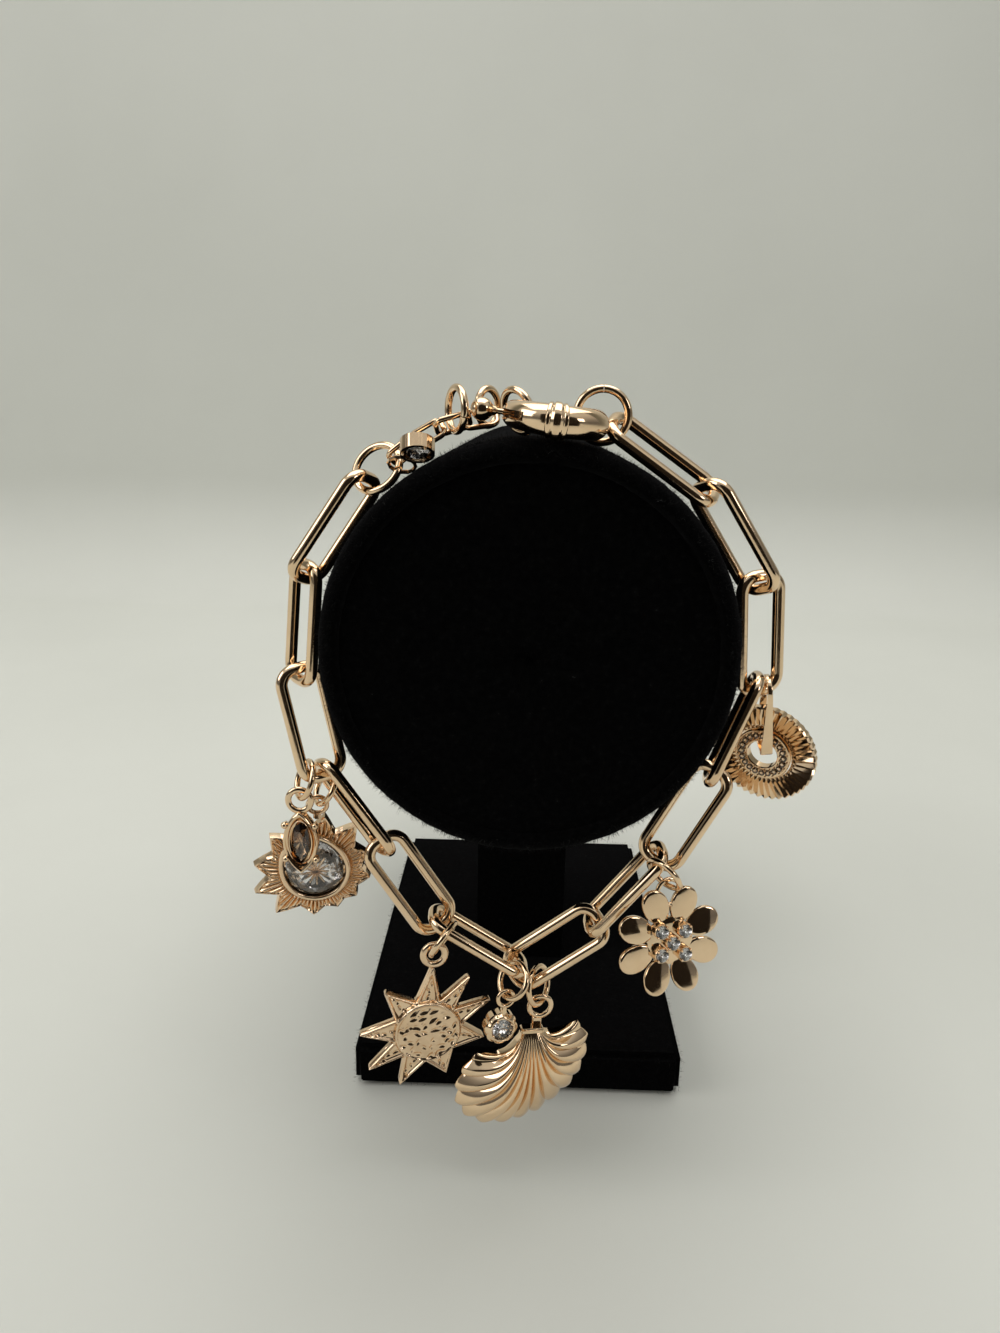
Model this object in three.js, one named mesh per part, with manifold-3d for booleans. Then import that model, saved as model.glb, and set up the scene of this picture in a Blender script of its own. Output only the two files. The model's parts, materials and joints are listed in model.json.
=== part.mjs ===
// Charm bracelet: a paperclip-link chain with a sailor clasp and seven charms, on a T-bar display stand.
// Millimetres, +Z up. X is to the right, Y away from the viewer, Z up.
// The origin is the centre of the underside of the stand's base.
import * as THREE from 'three';
import { mergeVertices } from 'three/addons/utils/BufferGeometryUtils.js';
import Module from 'manifold-3d';

const wasm = await Module();
wasm.setup();

// Stand
const baseWidth = 47.8;
const baseDepth = 70.9;
const baseThickness = 6.6;
const baseCorner = 1.2;
const postWidth = 14.5;
const postDepth = 21;
const padRadius = 22.7;
const padLength = 115.6;
const padAxisHeight = 71.6;
const padRim = 3;
const padFaceRadius = 20.2;
const padFaceDepth = 0.8;
const padFaceLip = 0.3;
const seatGap = 0.2;

// Chain
const linkPitch = 11.7;
const linkWire = 1.35;
const linkWidth = 4.65;
const linkCorner = 1.8;
const clearance = 0.12;
const restGap = 0.16;
const endRingDiameter = 6.3;
const endRingWire = 0.85;

// Extender
const extenderPitch = 2.9;
const extenderWire = 0.6;
const extenderWidth = 2.2;
const extenderCorner = 0.75;

// Clasp
const claspRadius = 4.25;
const gateRodRadius = 0.6;
const gateRunningGap = 0.15;
const gateNeckRadius = 0.3;
const gateBallRadius = 1.2;
const gateBallReach = 7.7;
const gateTravel = 50;
const gateStopMargin = 6;
const claspRingWire = 0.8;
const firstRingDiameter = 5.4;

// Charms
const jumpWire = 0.7;
const plateThickness = 1;
const edgeEase = 0.1;
const stoneSeatGap = 0.17;

// Where the chain starts: the middle of the first link's end bar, inside the right-hand ring.
const chainStart = new THREE.Vector3(8.3, -51.3, 95.95);

// The route of the chain: each link's heading round the loop, its tilt out of the loop's plane and its
// roll about its own length, in degrees. Roll 0 is broad to the viewer.
const chainRoute = [
  { heading: -34.7, tilt: -3.2, roll: 62 },
  { heading: -56.8, tilt: 2.6, roll: -52 },
  { heading: -85.7, tilt: 1.8, roll: 20 },
  { heading: -111.3, tilt: -3.5, roll: 82 },
  { heading: -118.5, tilt: -0.7, roll: -20 },
  { heading: -127.8, tilt: 1.5, roll: 96 },
  { heading: -141.5, tilt: 2.9, roll: -20 },
  { heading: -213.5, tilt: -2.9, roll: 88 },
  { heading: -237.2, tilt: -2.6, roll: -22 },
  { heading: -235.2, tilt: 0, roll: 54 },
  { heading: -258.5, tilt: 0, roll: -30 },
  { heading: -274.9, tilt: 0.5, roll: 48 },
  { heading: -304, tilt: 1.5, roll: -56 },
];

// The small extender links run from the left-hand ring up to the clasp.
const extenderRoute = [
  { heading: 38, tilt: 0, roll: -50 },
  { heading: 30, tilt: 4, roll: 40 },
  { heading: 16, tilt: 6, roll: -50 },
  { heading: 8, tilt: 6, roll: 40 },
];

const degree = Math.PI / 180;
const fullTurn = 2 * Math.PI;
const wireSides = 6;
const ringSides = 12;
const upward = new THREE.Vector3(0, 0, 1);
const backward = new THREE.Vector3(0, 1, 0);

const materials = {
  velvet: new THREE.MeshStandardMaterial({ color: 0x0b0b0d, roughness: 0.95, metalness: 0 }),
  gold: new THREE.MeshStandardMaterial({ color: 0xd9a866, roughness: 0.18, metalness: 1 }),
  crystal: new THREE.MeshStandardMaterial({ color: 0xe9e4e6, roughness: 0.05, metalness: 0 }),
};

const bracelet = new THREE.Group();

function addPiece(name, geometry, material, parent = bracelet) {
  const mesh = new THREE.Mesh(geometry, material);
  mesh.name = name;
  parent.add(mesh);
  return mesh;
}

function geometryOf(vertices, triangles) {
  const geometry = new THREE.BufferGeometry();
  geometry.setAttribute('position', new THREE.Float32BufferAttribute(vertices, 3));
  geometry.setIndex(triangles);
  geometry.computeVertexNormals();
  return geometry;
}

// A closed solid from rings of points: rows[i] holds the points of ring i, all rings alike in number.
// With closedRows the last ring joins the first; otherwise each end is capped by a fan round its middle.
function loftedSolid(rows, closedRows) {
  const count = rows[0].length;
  const vertices = rows.flat().flatMap((point) => [point.x, point.y, point.z]);
  const triangles = [];
  const rowPairs = closedRows ? rows.length : rows.length - 1;
  for (let i = 0; i < rowPairs; i++) {
    const next = (i + 1) % rows.length;
    for (let j = 0; j < count; j++) {
      const k = (j + 1) % count;
      const [a, b, c, d] = [i * count + j, i * count + k, next * count + k, next * count + j];
      triangles.push(a, b, c, a, c, d);
    }
  }
  if (!closedRows) {
    for (const [row, flip] of [[0, true], [rows.length - 1, false]]) {
      const middle = new THREE.Vector3();
      rows[row].forEach((point) => middle.addScaledVector(point, 1 / count));
      const hub = vertices.length / 3;
      vertices.push(middle.x, middle.y, middle.z);
      for (let j = 0; j < count; j++) {
        const [a, b] = [row * count + j, row * count + (j + 1) % count];
        if (flip) triangles.push(hub, b, a);
        else triangles.push(hub, a, b);
      }
    }
  }
  return geometryOf(vertices, triangles);
}

// A closed solid turned round Z whose section may change with the angle. sectionAt(angle, spoke) gives the
// same number of [radius, height] points each time. A solid without a hole starts with its foot and ends
// with its top, both on the axis; one with a hole has sections that close on themselves.
function turnedSolid(spokes, sectionAt, hasHole) {
  const sections = [];
  for (let i = 0; i < spokes; i++) sections.push(sectionAt(i / spokes * fullTurn, i));
  const place = (i, [radius, height]) => {
    const angle = i / spokes * fullTurn;
    return [radius * Math.cos(angle), radius * Math.sin(angle), height];
  };
  const vertices = [];
  const triangles = [];
  const inner = hasHole ? sections[0] : sections[0].slice(1, -1);
  const count = inner.length;
  sections.forEach((section, i) => {
    const points = hasHole ? section : section.slice(1, -1);
    points.forEach((point) => vertices.push(...place(i, point)));
  });
  for (let i = 0; i < spokes; i++) {
    const next = (i + 1) % spokes;
    const last = hasHole ? count : count - 1;
    for (let j = 0; j < last; j++) {
      const k = (j + 1) % count;
      const [a, b, c, d] = [i * count + j, next * count + j, next * count + k, i * count + k];
      triangles.push(a, b, c, a, c, d);
    }
  }
  if (!hasHole) {
    const foot = vertices.length / 3;
    vertices.push(0, 0, sections[0][0][1]);
    vertices.push(0, 0, sections[0].at(-1)[1]);
    for (let i = 0; i < spokes; i++) {
      const next = (i + 1) % spokes;
      triangles.push(foot, next * count, i * count);
      triangles.push(foot + 1, i * count + count - 1, next * count + count - 1);
    }
  }
  return geometryOf(vertices, triangles);
}

// A flat outline pushed out along Z.
function extruded(outline, depth, curveSegments) {
  return new THREE.ExtrudeGeometry(outline, { depth, bevelEnabled: false, curveSegments });
}

// Joining and cutting
function solidOf(geometry, matrix = new THREE.Matrix4()) {
  const bare = geometry.clone().applyMatrix4(matrix);
  bare.deleteAttribute('normal');
  bare.deleteAttribute('uv');
  const merged = mergeVertices(bare, 1e-5);
  return new wasm.Manifold(new wasm.Mesh({
    numProp: 3,
    vertProperties: new Float32Array(merged.attributes.position.array),
    triVerts: new Uint32Array(merged.index.array),
  }));
}

function geometryFrom(solid) {
  const mesh = solid.getMesh();
  return geometryOf(Array.from(mesh.vertProperties), Array.from(mesh.triVerts));
}

function joined(solids) {
  return solids.reduce((sum, solid) => sum.add(solid));
}

function at(x, y, z) {
  return new THREE.Matrix4().makeTranslation(x, y, z);
}

// Stand: base, post and padded roll
function makeStand() {
  const halfWidth = baseWidth / 2;
  const halfDepth = baseDepth / 2;
  const outline = new THREE.Shape();
  outline.moveTo(-halfWidth + baseCorner, -halfDepth);
  outline.lineTo(halfWidth - baseCorner, -halfDepth);
  outline.absarc(halfWidth - baseCorner, -halfDepth + baseCorner, baseCorner, -Math.PI / 2, 0);
  outline.absarc(halfWidth - baseCorner, halfDepth - baseCorner, baseCorner, 0, Math.PI / 2);
  outline.absarc(-halfWidth + baseCorner, halfDepth - baseCorner, baseCorner, Math.PI / 2, Math.PI);
  outline.absarc(-halfWidth + baseCorner, -halfDepth + baseCorner, baseCorner, Math.PI, 1.5 * Math.PI);
  const slab = extruded(outline, baseThickness, 3);
  addPiece('stand_base', slab, materials.velvet);

  // The post's top is hollowed to the roll's curve.
  const halfPost = postWidth / 2;
  const saddleRadius = padRadius + seatGap;
  const saddleAngle = Math.asin(halfPost / saddleRadius);
  const shoulder = padAxisHeight - saddleRadius * Math.cos(saddleAngle);
  const front = new THREE.Shape();
  front.moveTo(-halfPost, baseThickness + seatGap);
  front.lineTo(halfPost, baseThickness + seatGap);
  front.lineTo(halfPost, shoulder);
  front.absarc(0, padAxisHeight, saddleRadius, -Math.PI / 2 + saddleAngle, -Math.PI / 2 - saddleAngle, true);
  const post = extruded(front, postDepth, 6);
  const postMesh = addPiece('stand_post', post, materials.velvet);
  postMesh.rotation.x = Math.PI / 2;
  postMesh.position.y = postDepth / 2;

  const halfLength = padLength / 2;
  const rimSteps = 3;
  const profile = [new THREE.Vector2(0, -halfLength + padFaceDepth)];
  profile.push(new THREE.Vector2(padFaceRadius, -halfLength + padFaceDepth));
  for (let i = 0; i <= rimSteps; i++) {
    const turn = i / rimSteps * Math.PI / 2;
    const reach = padRadius - padRim + padRim * Math.sin(turn);
    const inward = -halfLength + padRim * (1 - Math.cos(turn));
    profile.push(new THREE.Vector2(Math.max(reach, padFaceRadius + padFaceLip), inward));
  }
  const back = profile.map((point) => new THREE.Vector2(point.x, -point.y)).reverse();
  const pad = addPiece('stand_pad', new THREE.LatheGeometry([...profile, ...back], 40), materials.velvet);
  pad.position.z = padAxisHeight;
}

// Chain links
// A loop of round wire in the XY plane with rounded corners, its long axis on X.
function wireLoop(halfLength, halfWidth, corner, wire, cornerSteps) {
  const corners = [
    { x: halfLength - corner, y: halfWidth - corner, from: 0 },
    { x: -halfLength + corner, y: halfWidth - corner, from: 90 },
    { x: -halfLength + corner, y: -halfWidth + corner, from: 180 },
    { x: halfLength - corner, y: -halfWidth + corner, from: 270 },
  ];
  const rows = [];
  for (const { x, y, from } of corners) {
    for (let i = 0; i <= cornerSteps; i++) {
      const angle = (from + 90 * i / cornerSteps) * degree;
      const outward = new THREE.Vector3(Math.cos(angle), Math.sin(angle), 0);
      const centre = new THREE.Vector3(x, y, 0).addScaledVector(outward, corner);
      const ring = [];
      for (let j = 0; j < wireSides; j++) {
        const around = j / wireSides * fullTurn;
        const point = centre.clone().addScaledVector(outward, wire / 2 * Math.cos(around));
        ring.push(point.addScaledVector(upward, wire / 2 * Math.sin(around)));
      }
      rows.push(ring.reverse());
    }
  }
  return loftedSolid(rows, true);
}

function headingFrame({ heading, tilt, roll }) {
  const along = new THREE.Vector3(
    Math.cos(heading * degree) * Math.cos(tilt * degree),
    Math.sin(tilt * degree),
    Math.sin(heading * degree) * Math.cos(tilt * degree),
  );
  const outward = new THREE.Vector3(-Math.sin(heading * degree), 0, Math.cos(heading * degree));
  const rearward = outward.clone().cross(along);
  const across = outward.multiplyScalar(Math.cos(roll * degree));
  return { along, across: across.addScaledVector(rearward, Math.sin(roll * degree)).normalize() };
}

// Lays equal links end to end. Each link's end bar rests against its neighbour's, square to both bars.
function layLinks(route, start, pitch, wire) {
  const barToBar = pitch + wire + clearance;
  const frames = route.map(headingFrame);
  const from = start.clone();
  return frames.map(({ along, across }, index) => {
    const first = from.clone();
    const last = first.clone().addScaledVector(along, barToBar);
    const next = frames[index + 1];
    if (next) {
      const contact = across.clone().cross(next.across).normalize();
      if (contact.dot(along.clone().add(next.along)) < 0) contact.negate();
      from.copy(last).addScaledVector(contact, -(wire + clearance));
    }
    return { along, across, first, last };
  });
}

function placeLink(mesh, { along, across, first, last }) {
  const basis = new THREE.Matrix4().makeBasis(along, across, along.clone().cross(across));
  mesh.quaternion.setFromRotationMatrix(basis);
  mesh.position.copy(first).add(last).multiplyScalar(0.5);
}

function makeLinks(prefix, laid, pitch, wire, width, corner, steps) {
  const halfLength = (pitch + wire + clearance) / 2;
  laid.forEach((link, index) => {
    const name = prefix + String(index + 1).padStart(2, '0');
    placeLink(addPiece(name, wireLoop(halfLength, width / 2, corner, wire, steps), materials.gold), link);
  });
}

const chain = layLinks(chainRoute, chainStart, linkPitch, linkWire);

// A point on a link's end bar or its corner: at 'first' or 'last', so far across from the middle.
function barPoint({ along, across, first, last }, end, offset) {
  const straight = linkWidth / 2 - linkCorner;
  const past = Math.max(0, Math.abs(offset) - straight);
  const inset = linkCorner - Math.sqrt(linkCorner ** 2 - past ** 2);
  const inward = end === 'first' ? inset : -inset;
  const middle = end === 'first' ? first : last;
  return middle.clone().addScaledVector(along, inward).addScaledVector(across, offset);
}

// Rings
function ringGeometry(outerDiameter, wire) {
  return new THREE.TorusGeometry((outerDiameter - wire) / 2, wire / 2, wireSides, ringSides);
}

// A ring whose plane holds the two directions given.
function addRing(name, outerDiameter, wire, centre, inPlane, alsoInPlane) {
  const ring = addPiece(name, ringGeometry(outerDiameter, wire), materials.gold);
  const normal = inPlane.clone().cross(alsoInPlane).normalize();
  const first = inPlane.clone().normalize();
  const basis = new THREE.Matrix4().makeBasis(first, normal.clone().cross(first), normal);
  ring.quaternion.setFromRotationMatrix(basis);
  ring.position.copy(centre);
  return ring;
}

// Clasp: a hollow ring with two collars and a sliding gate, in its own frame with Z along the ring's axis
const claspCentre = new THREE.Vector3(2.2, -53, 96.15);
const claspFrontDrop = 2;
const claspRightDrop = 6.5;
const gateOpening = { from: 76, to: 125 };
const gateNeckAngle = 180;
const firstRingAngle = 150;
const clasp = new THREE.Group();
clasp.position.copy(claspCentre);
clasp.rotation.set(claspFrontDrop * degree, claspRightDrop * degree, 0, 'YXZ');
clasp.updateMatrixWorld(true);
bracelet.add(clasp);

// The body's tube is thick in front and thin behind the right-hand end, where the chain's ring passes.
const claspTube = [
  { angle: 125, radius: 1.05 },
  { angle: 168, radius: 1.1 },
  { angle: 192, radius: 1.45 },
  { angle: 270, radius: 1.6 },
  { angle: 335, radius: 1.6 },
  { angle: 356, radius: 1.3 },
  { angle: 371, radius: 0.85 },
  { angle: 380, radius: 0.8 },
  { angle: 436, radius: 0.8 },
];
const frontCollar = [
  { angle: 258, radius: 1.45 },
  { angle: 259, radius: 1.78 },
  { angle: 262, radius: 1.8 },
  { angle: 264, radius: 1.72 },
  { angle: 267, radius: 1.88 },
  { angle: 273, radius: 1.88 },
  { angle: 276, radius: 1.72 },
  { angle: 278, radius: 1.8 },
  { angle: 281, radius: 1.78 },
  { angle: 282, radius: 1.45 },
];
const backCollar = [
  { angle: 416, radius: 0.75 },
  { angle: 418, radius: 1.3 },
  { angle: 421, radius: 1.15 },
  { angle: 426, radius: 1.4 },
  { angle: 431, radius: 1.15 },
  { angle: 436, radius: 1.3 },
];

function tableAt(table, angle) {
  const upper = table.findIndex((row) => row.angle >= angle);
  if (upper <= 0) return table.at(upper === 0 ? 0 : -1).radius;
  const [low, high] = [table[upper - 1], table[upper]];
  return THREE.MathUtils.mapLinear(angle, low.angle, high.angle, low.radius, high.radius);
}

// A tube bent round the clasp's ring, between two angles.
function bentTube(angles, radiusAt, sides) {
  const rows = angles.map((angle) => {
    const outward = new THREE.Vector3(Math.cos(angle * degree), Math.sin(angle * degree), 0);
    const ring = [];
    for (let j = 0; j < sides; j++) {
      const around = -j / sides * fullTurn;
      const reach = claspRadius + radiusAt(angle) * Math.cos(around);
      const height = radiusAt(angle) * Math.sin(around);
      ring.push(outward.clone().multiplyScalar(reach).addScaledVector(upward, height));
    }
    return ring;
  });
  return loftedSolid(rows, false);
}

function evenAngles(from, to, steps) {
  return Array.from({ length: steps + 1 }, (_, i) => from + (to - from) * i / steps);
}

function makeClasp() {
  const bodyAngles = evenAngles(gateOpening.to, 360 + gateOpening.from, 22);
  const tube = solidOf(bentTube(bodyAngles, (angle) => tableAt(claspTube, angle), 12));
  const collars = [frontCollar, backCollar].map((table) => {
    return solidOf(bentTube(table.map((row) => row.angle), (angle) => tableAt(table, angle), 12));
  });
  const boreRadius = gateRodRadius + gateRunningGap;
  const boreStart = gateOpening.to - gateStopMargin;
  const boreEnd = gateNeckAngle + gateTravel + gateStopMargin + 2;
  const bore = solidOf(bentTube(evenAngles(boreStart, boreEnd, 10), () => boreRadius, 10));

  // The slot lets the neck run from its closed place to its open one.
  const slotHalf = gateNeckRadius + gateRunningGap;
  const slotFrom = (gateNeckAngle - gateStopMargin) * degree;
  const slotTo = (gateNeckAngle + gateTravel + gateStopMargin) * degree;
  const slotOuter = claspRadius + 3;
  const sector = new THREE.Shape();
  sector.absarc(0, 0, claspRadius, slotFrom, slotTo);
  sector.absarc(0, 0, slotOuter, slotTo, slotFrom, true);
  const slot = solidOf(extruded(sector, 2 * slotHalf, 8), at(0, 0, -slotHalf));
  const body = joined([tube, ...collars]).subtract(bore).subtract(slot);
  addPiece('clasp_body', geometryFrom(body), materials.gold, clasp);

  const rodFrom = gateOpening.from + 2;
  const rodTo = gateNeckAngle + 5;
  const rodAngles = evenAngles(rodFrom, rodTo, 10);
  const rod = solidOf(bentTube(rodAngles, () => gateRodRadius, 8));
  const neckLength = gateBallReach - claspRadius;
  const neckPlace = new THREE.Matrix4().makeRotationZ(Math.PI / 2);
  neckPlace.setPosition(-claspRadius - neckLength / 2, 0, 0);
  const neck = solidOf(new THREE.CylinderGeometry(gateNeckRadius, gateNeckRadius, neckLength, 8), neckPlace);
  const ball = solidOf(new THREE.SphereGeometry(gateBallRadius, 12, 8), at(-gateBallReach, 0, 0));
  addPiece('clasp_gate', geometryFrom(joined([rod, neck, ball])), materials.gold, clasp);
}

function claspPoint(angle, radius, height = 0) {
  const turn = angle * degree;
  return new THREE.Vector3(radius * Math.cos(turn), radius * Math.sin(turn), height).applyMatrix4(clasp.matrixWorld);
}

// The first ring stands across the clasp's left end, its top leaning a little to the left.
const firstRingWay = new THREE.Vector3(-0.62, 0.78, 0).normalize();
const firstRingUp = new THREE.Vector3(-0.27, -0.21, 0.94).normalize();
const firstRingShift = 0.4;
const firstRingLift = 0.25;
const firstRingCentre = claspPoint(firstRingAngle, claspRadius)
  .addScaledVector(firstRingWay, firstRingShift)
  .addScaledVector(upward, firstRingLift);
const rightRingCentre = new THREE.Vector3(7.15, chainStart.y, 96.56);

function makeEndRings() {
  const sideways = new THREE.Vector3(1, 0, 0);
  addRing('ring_right', endRingDiameter, endRingWire, rightRingCentre, sideways, upward);
  addRing('clasp_ring_1', firstRingDiameter, claspRingWire, firstRingCentre, firstRingWay, firstRingUp);
}

// The left-hand ring leans forward over the roll; its plane holds the chain's direction and the lean.
const leftRingHeading = 38 * degree;
const leftRingLean = 40 * degree;
const leftRingAlong = new THREE.Vector3(Math.cos(leftRingHeading), 0, Math.sin(leftRingHeading));
const leftRingAcross = new THREE.Vector3(-leftRingAlong.z, 0, leftRingAlong.x)
  .multiplyScalar(Math.cos(leftRingLean))
  .addScaledVector(backward, Math.sin(leftRingLean));
const endRingInner = endRingDiameter / 2 - endRingWire;

function leftRingDirection(angle) {
  const direction = leftRingAlong.clone().multiplyScalar(Math.cos(angle * degree));
  return direction.addScaledVector(leftRingAcross, Math.sin(angle * degree));
}

// From the ring's middle: the way to the ring from the chain's last bar, and the way to the extender.
const chainRestAngle = 8;
const extenderRestAngle = -12;
const lastBar = chain.at(-1).last;
const leftRingCentre = lastBar.clone()
  .addScaledVector(leftRingDirection(chainRestAngle), endRingInner - linkWire / 2 - restGap);
const extenderStart = leftRingCentre.clone()
  .addScaledVector(leftRingDirection(extenderRestAngle), endRingInner - extenderWire / 2 - restGap);
const extender = layLinks(extenderRoute, extenderStart, extenderPitch, extenderWire);

// The two loose rings stand up on the extender; each passes through one link's window.
const looseRings = [
  { name: 'clasp_ring_2', diameter: 4.6, link: 4, yaw: 238, dip: 38, shift: 0 },
  { name: 'clasp_ring_3', diameter: 5.2, link: 3, yaw: 117, dip: 45, shift: -0.25 },
];

function addLooseRing({ name, diameter, link: number, yaw, dip, shift }) {
  const link = extender[number - 1];
  const sideways = new THREE.Vector3(Math.cos(yaw * degree), Math.sin(yaw * degree), 0);
  const radius = (diameter - claspRingWire) / 2;
  const crossing = link.first.clone().add(link.last).multiplyScalar(0.5).addScaledVector(link.along, shift);
  const centre = crossing.addScaledVector(sideways, -radius * Math.cos(dip * degree));
  centre.addScaledVector(upward, radius * Math.sin(dip * degree));
  addRing(name, diameter, claspRingWire, centre, sideways, upward);
}

function makeExtender() {
  addRing('ring_left', endRingDiameter, endRingWire, leftRingCentre, leftRingAlong, leftRingAcross);
  makeLinks('extender_link_', extender, extenderPitch, extenderWire, extenderWidth, extenderCorner, 2);
  looseRings.forEach(addLooseRing);
}

// Stones: a table, a crown and a pavilion on a girdle, cut in flat facets
const brilliantSides = 8;

const tableShare = 0.56;
const girdleHalf = 0.05;

function cutStone(radiusAt, spokes, crown, pavilion) {
  return turnedSolid(spokes, (angle) => {
    const girdle = radiusAt(angle);
    return [
      [0, -pavilion], [girdle, -girdleHalf], [girdle, girdleHalf], [girdle * tableShare, crown], [0, crown],
    ];
  }, false);
}

function roundStone(radius) {
  const crown = radius * 0.34;
  const pavilion = radius * 0.8;
  return cutStone(() => radius, brilliantSides, crown, pavilion);
}

// A round cup, closed below and open above, which holds a stone's pavilion
function stoneCup(stoneRadius, wall, depth, lip, sides) {
  const seat = stoneRadius + stoneSeatGap;
  const floor = 0.3;
  return turnedSolid(sides, () => [
    [0, -depth - floor], [seat + wall, -depth - floor], [seat + wall, lip],
    [seat, lip], [seat, -depth], [0, -depth],
  ], false);
}

// The bezel drop at the end of the extender hangs on the left-hand ring by a soldered bail ring.
const dropStoneRadius = 1.3;
const dropWall = 0.35;
const dropBailDiameter = 3.3;
const dropBailWire = 0.45;
const dropRingAngle = -40;
const dropCupDepth = 1;
const dropCupLip = 0.25;
const dropFaceDirection = new THREE.Vector3(0.05, -0.54, -0.84).normalize();
const dropWay = new THREE.Vector3(0.614, -0.62, 0.5);

function makeDrop() {
  const wireRadius = (endRingDiameter - endRingWire) / 2;
  const threaded = leftRingCentre.clone().addScaledVector(leftRingDirection(dropRingAngle), wireRadius);
  const way = dropWay.clone().addScaledVector(dropFaceDirection, -dropWay.dot(dropFaceDirection)).normalize();
  const bailRadius = (dropBailDiameter - dropBailWire) / 2;
  const slack = dropBailDiameter / 2 - dropBailWire - endRingWire / 2 - restGap;
  const bailCentre = threaded.clone().addScaledVector(way, slack);
  const cupRadius = dropStoneRadius + stoneSeatGap + dropWall;
  const cupCentre = bailCentre.clone().addScaledVector(way, bailRadius + cupRadius - dropBailWire / 2);
  const side = dropFaceDirection.clone().cross(way);
  const faceUp = new THREE.Matrix4().makeBasis(way, side, dropFaceDirection).setPosition(cupCentre);
  const cup = solidOf(stoneCup(dropStoneRadius, dropWall, dropCupDepth, dropCupLip, 16), faceUp);
  const wireWay = leftRingDirection(dropRingAngle + 90);
  const bailNormal = wireWay.addScaledVector(way, -wireWay.dot(way)).normalize();
  const bailPlace = new THREE.Matrix4().makeBasis(way, bailNormal.clone().cross(way), bailNormal);
  const bail = solidOf(ringGeometry(dropBailDiameter, dropBailWire), bailPlace.setPosition(bailCentre));
  addPiece('drop_bezel', geometryFrom(joined([cup, bail])), materials.gold);
  const stone = addPiece('drop_stone', roundStone(dropStoneRadius).scale(1, 1, 0.8), materials.crystal);
  stone.applyMatrix4(faceUp);
}

// Charms. Each hangs on a jump ring round a chain link. Here, 'along' and 'across' place the ring on the
// link's wire, from the link's middle; 'facing', 'leaning' and 'turned' set how the ring stands there.
const hangers = {
  marquise: { link: 11, along: -5.99, across: 1.86, diameter: 5, facing: 120, leaning: 20, turned: -45 },
  sunburst: { link: 10, along: 3.61, across: 2.33, diameter: 5, facing: 120, leaning: 30, turned: -45 },
  star: { link: 8, along: 4.51, across: -2.33, diameter: 5.3, facing: 70, leaning: 30, turned: 0 },
  mini: { link: 8, along: -5.57, across: -2.14, diameter: 5, facing: 130, leaning: 30, turned: 0 },
  shell: { link: 7, along: 4.85, across: 2.32, diameter: 5.3, facing: 60, leaning: -10, turned: -45 },
  flower: { link: 6, along: -5.34, across: -2.24, diameter: 5, facing: 130, leaning: -30, turned: 45 },
};

// How each charm hangs: yaw takes its right side back, lean takes its foot back, swing takes its foot right.
const charmTurns = {
  marquise: { yaw: 0, lean: 0, swing: 0 },
  sunburst: { yaw: 12, lean: 9, swing: -3 },
  star: { yaw: 14, lean: 0, swing: -5 },
  mini: { yaw: 20, lean: -4, swing: -8 },
  shell: { yaw: 12, lean: 0, swing: -3 },
  flower: { yaw: 18, lean: -8, swing: 0 },
};

function charmTurn({ yaw, lean, swing }) {
  const turn = new THREE.Quaternion().setFromAxisAngle(upward, yaw * degree);
  const back = new THREE.Quaternion().setFromAxisAngle(new THREE.Vector3(1, 0, 0), (90 + lean) * degree);
  return turn.multiply(back).multiply(new THREE.Quaternion().setFromAxisAngle(upward, swing * degree));
}

// Adds a jump ring round a link's wire and returns a group for its charm: X to the right, Y up, Z to the
// viewer, with the origin in the middle of the ring's lowest wire.
function hangCharm(name) {
  const placing = hangers[name];
  const link = chain[placing.link - 1];
  const wirePoint = link.first.clone().add(link.last).multiplyScalar(0.5);
  wirePoint.addScaledVector(link.along, placing.along).addScaledVector(link.across, placing.across);
  const sideways = new THREE.Vector3(Math.cos(placing.facing * degree), Math.sin(placing.facing * degree), 0);
  const standing = upward.clone().multiplyScalar(Math.cos(placing.leaning * degree));
  standing.addScaledVector(sideways.clone().cross(upward), Math.sin(placing.leaning * degree));
  const towardsLink = standing.clone().multiplyScalar(Math.cos(placing.turned * degree));
  towardsLink.addScaledVector(sideways, Math.sin(placing.turned * degree));
  const radius = (placing.diameter - jumpWire) / 2;
  const centre = wirePoint.addScaledVector(towardsLink, -(radius - jumpWire / 2 - linkWire / 2 - restGap));
  addRing(`${name}_ring`, placing.diameter, jumpWire, centre, sideways, standing);
  const charm = new THREE.Group();
  charm.position.copy(centre).addScaledVector(standing, -radius);
  charm.quaternion.copy(charmTurn(charmTurns[name]));
  bracelet.add(charm);
  return charm;
}

// How far an eye's middle lies below the ring's wire that it hangs on.
const eyeGap = 0.19;

function eyeDrop(eyeInner) {
  return eyeInner - jumpWire / 2 - eyeGap;
}

function eyeSolid(outer, inner, x, y, z) {
  const wire = outer - inner;
  return solidOf(new THREE.TorusGeometry((outer + inner) / 2, wire / 2, wireSides, ringSides), at(x, y, z));
}

// Sunburst: uneven pleated rays round a pear-shaped stone in a smooth bezel
const sunburstEye = { outer: 1.4, inner: 0.82 };
const sunburstDrop = 9.1;
const sunburstRays = [
  { angle: -12, reach: 7 },
  { angle: 20, reach: 6.7 },
  { angle: 53, reach: 8.1 },
  { angle: 83, reach: 7.8 },
  { angle: 112, reach: 7.1 },
  { angle: 139, reach: 7.5 },
  { angle: 174, reach: 7.6 },
  { angle: 204, reach: 8.2 },
  { angle: 233, reach: 8.2 },
  { angle: 269, reach: 7 },
  { angle: 296, reach: 6.6 },
  { angle: 321, reach: 6.8 },
];
const rayNotch = 5.9;
const pearRadius = 3.35;
const pearStretch = 0.42;
const pearTipAngle = 112;
const bezelWall = 0.7;
const bezelHeight = 1.2;
const pleatHeight = 0.12;
const sunburstPleats = 44;
const sunburstFloor = -0.05;
const pearCrown = 0.75;
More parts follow.
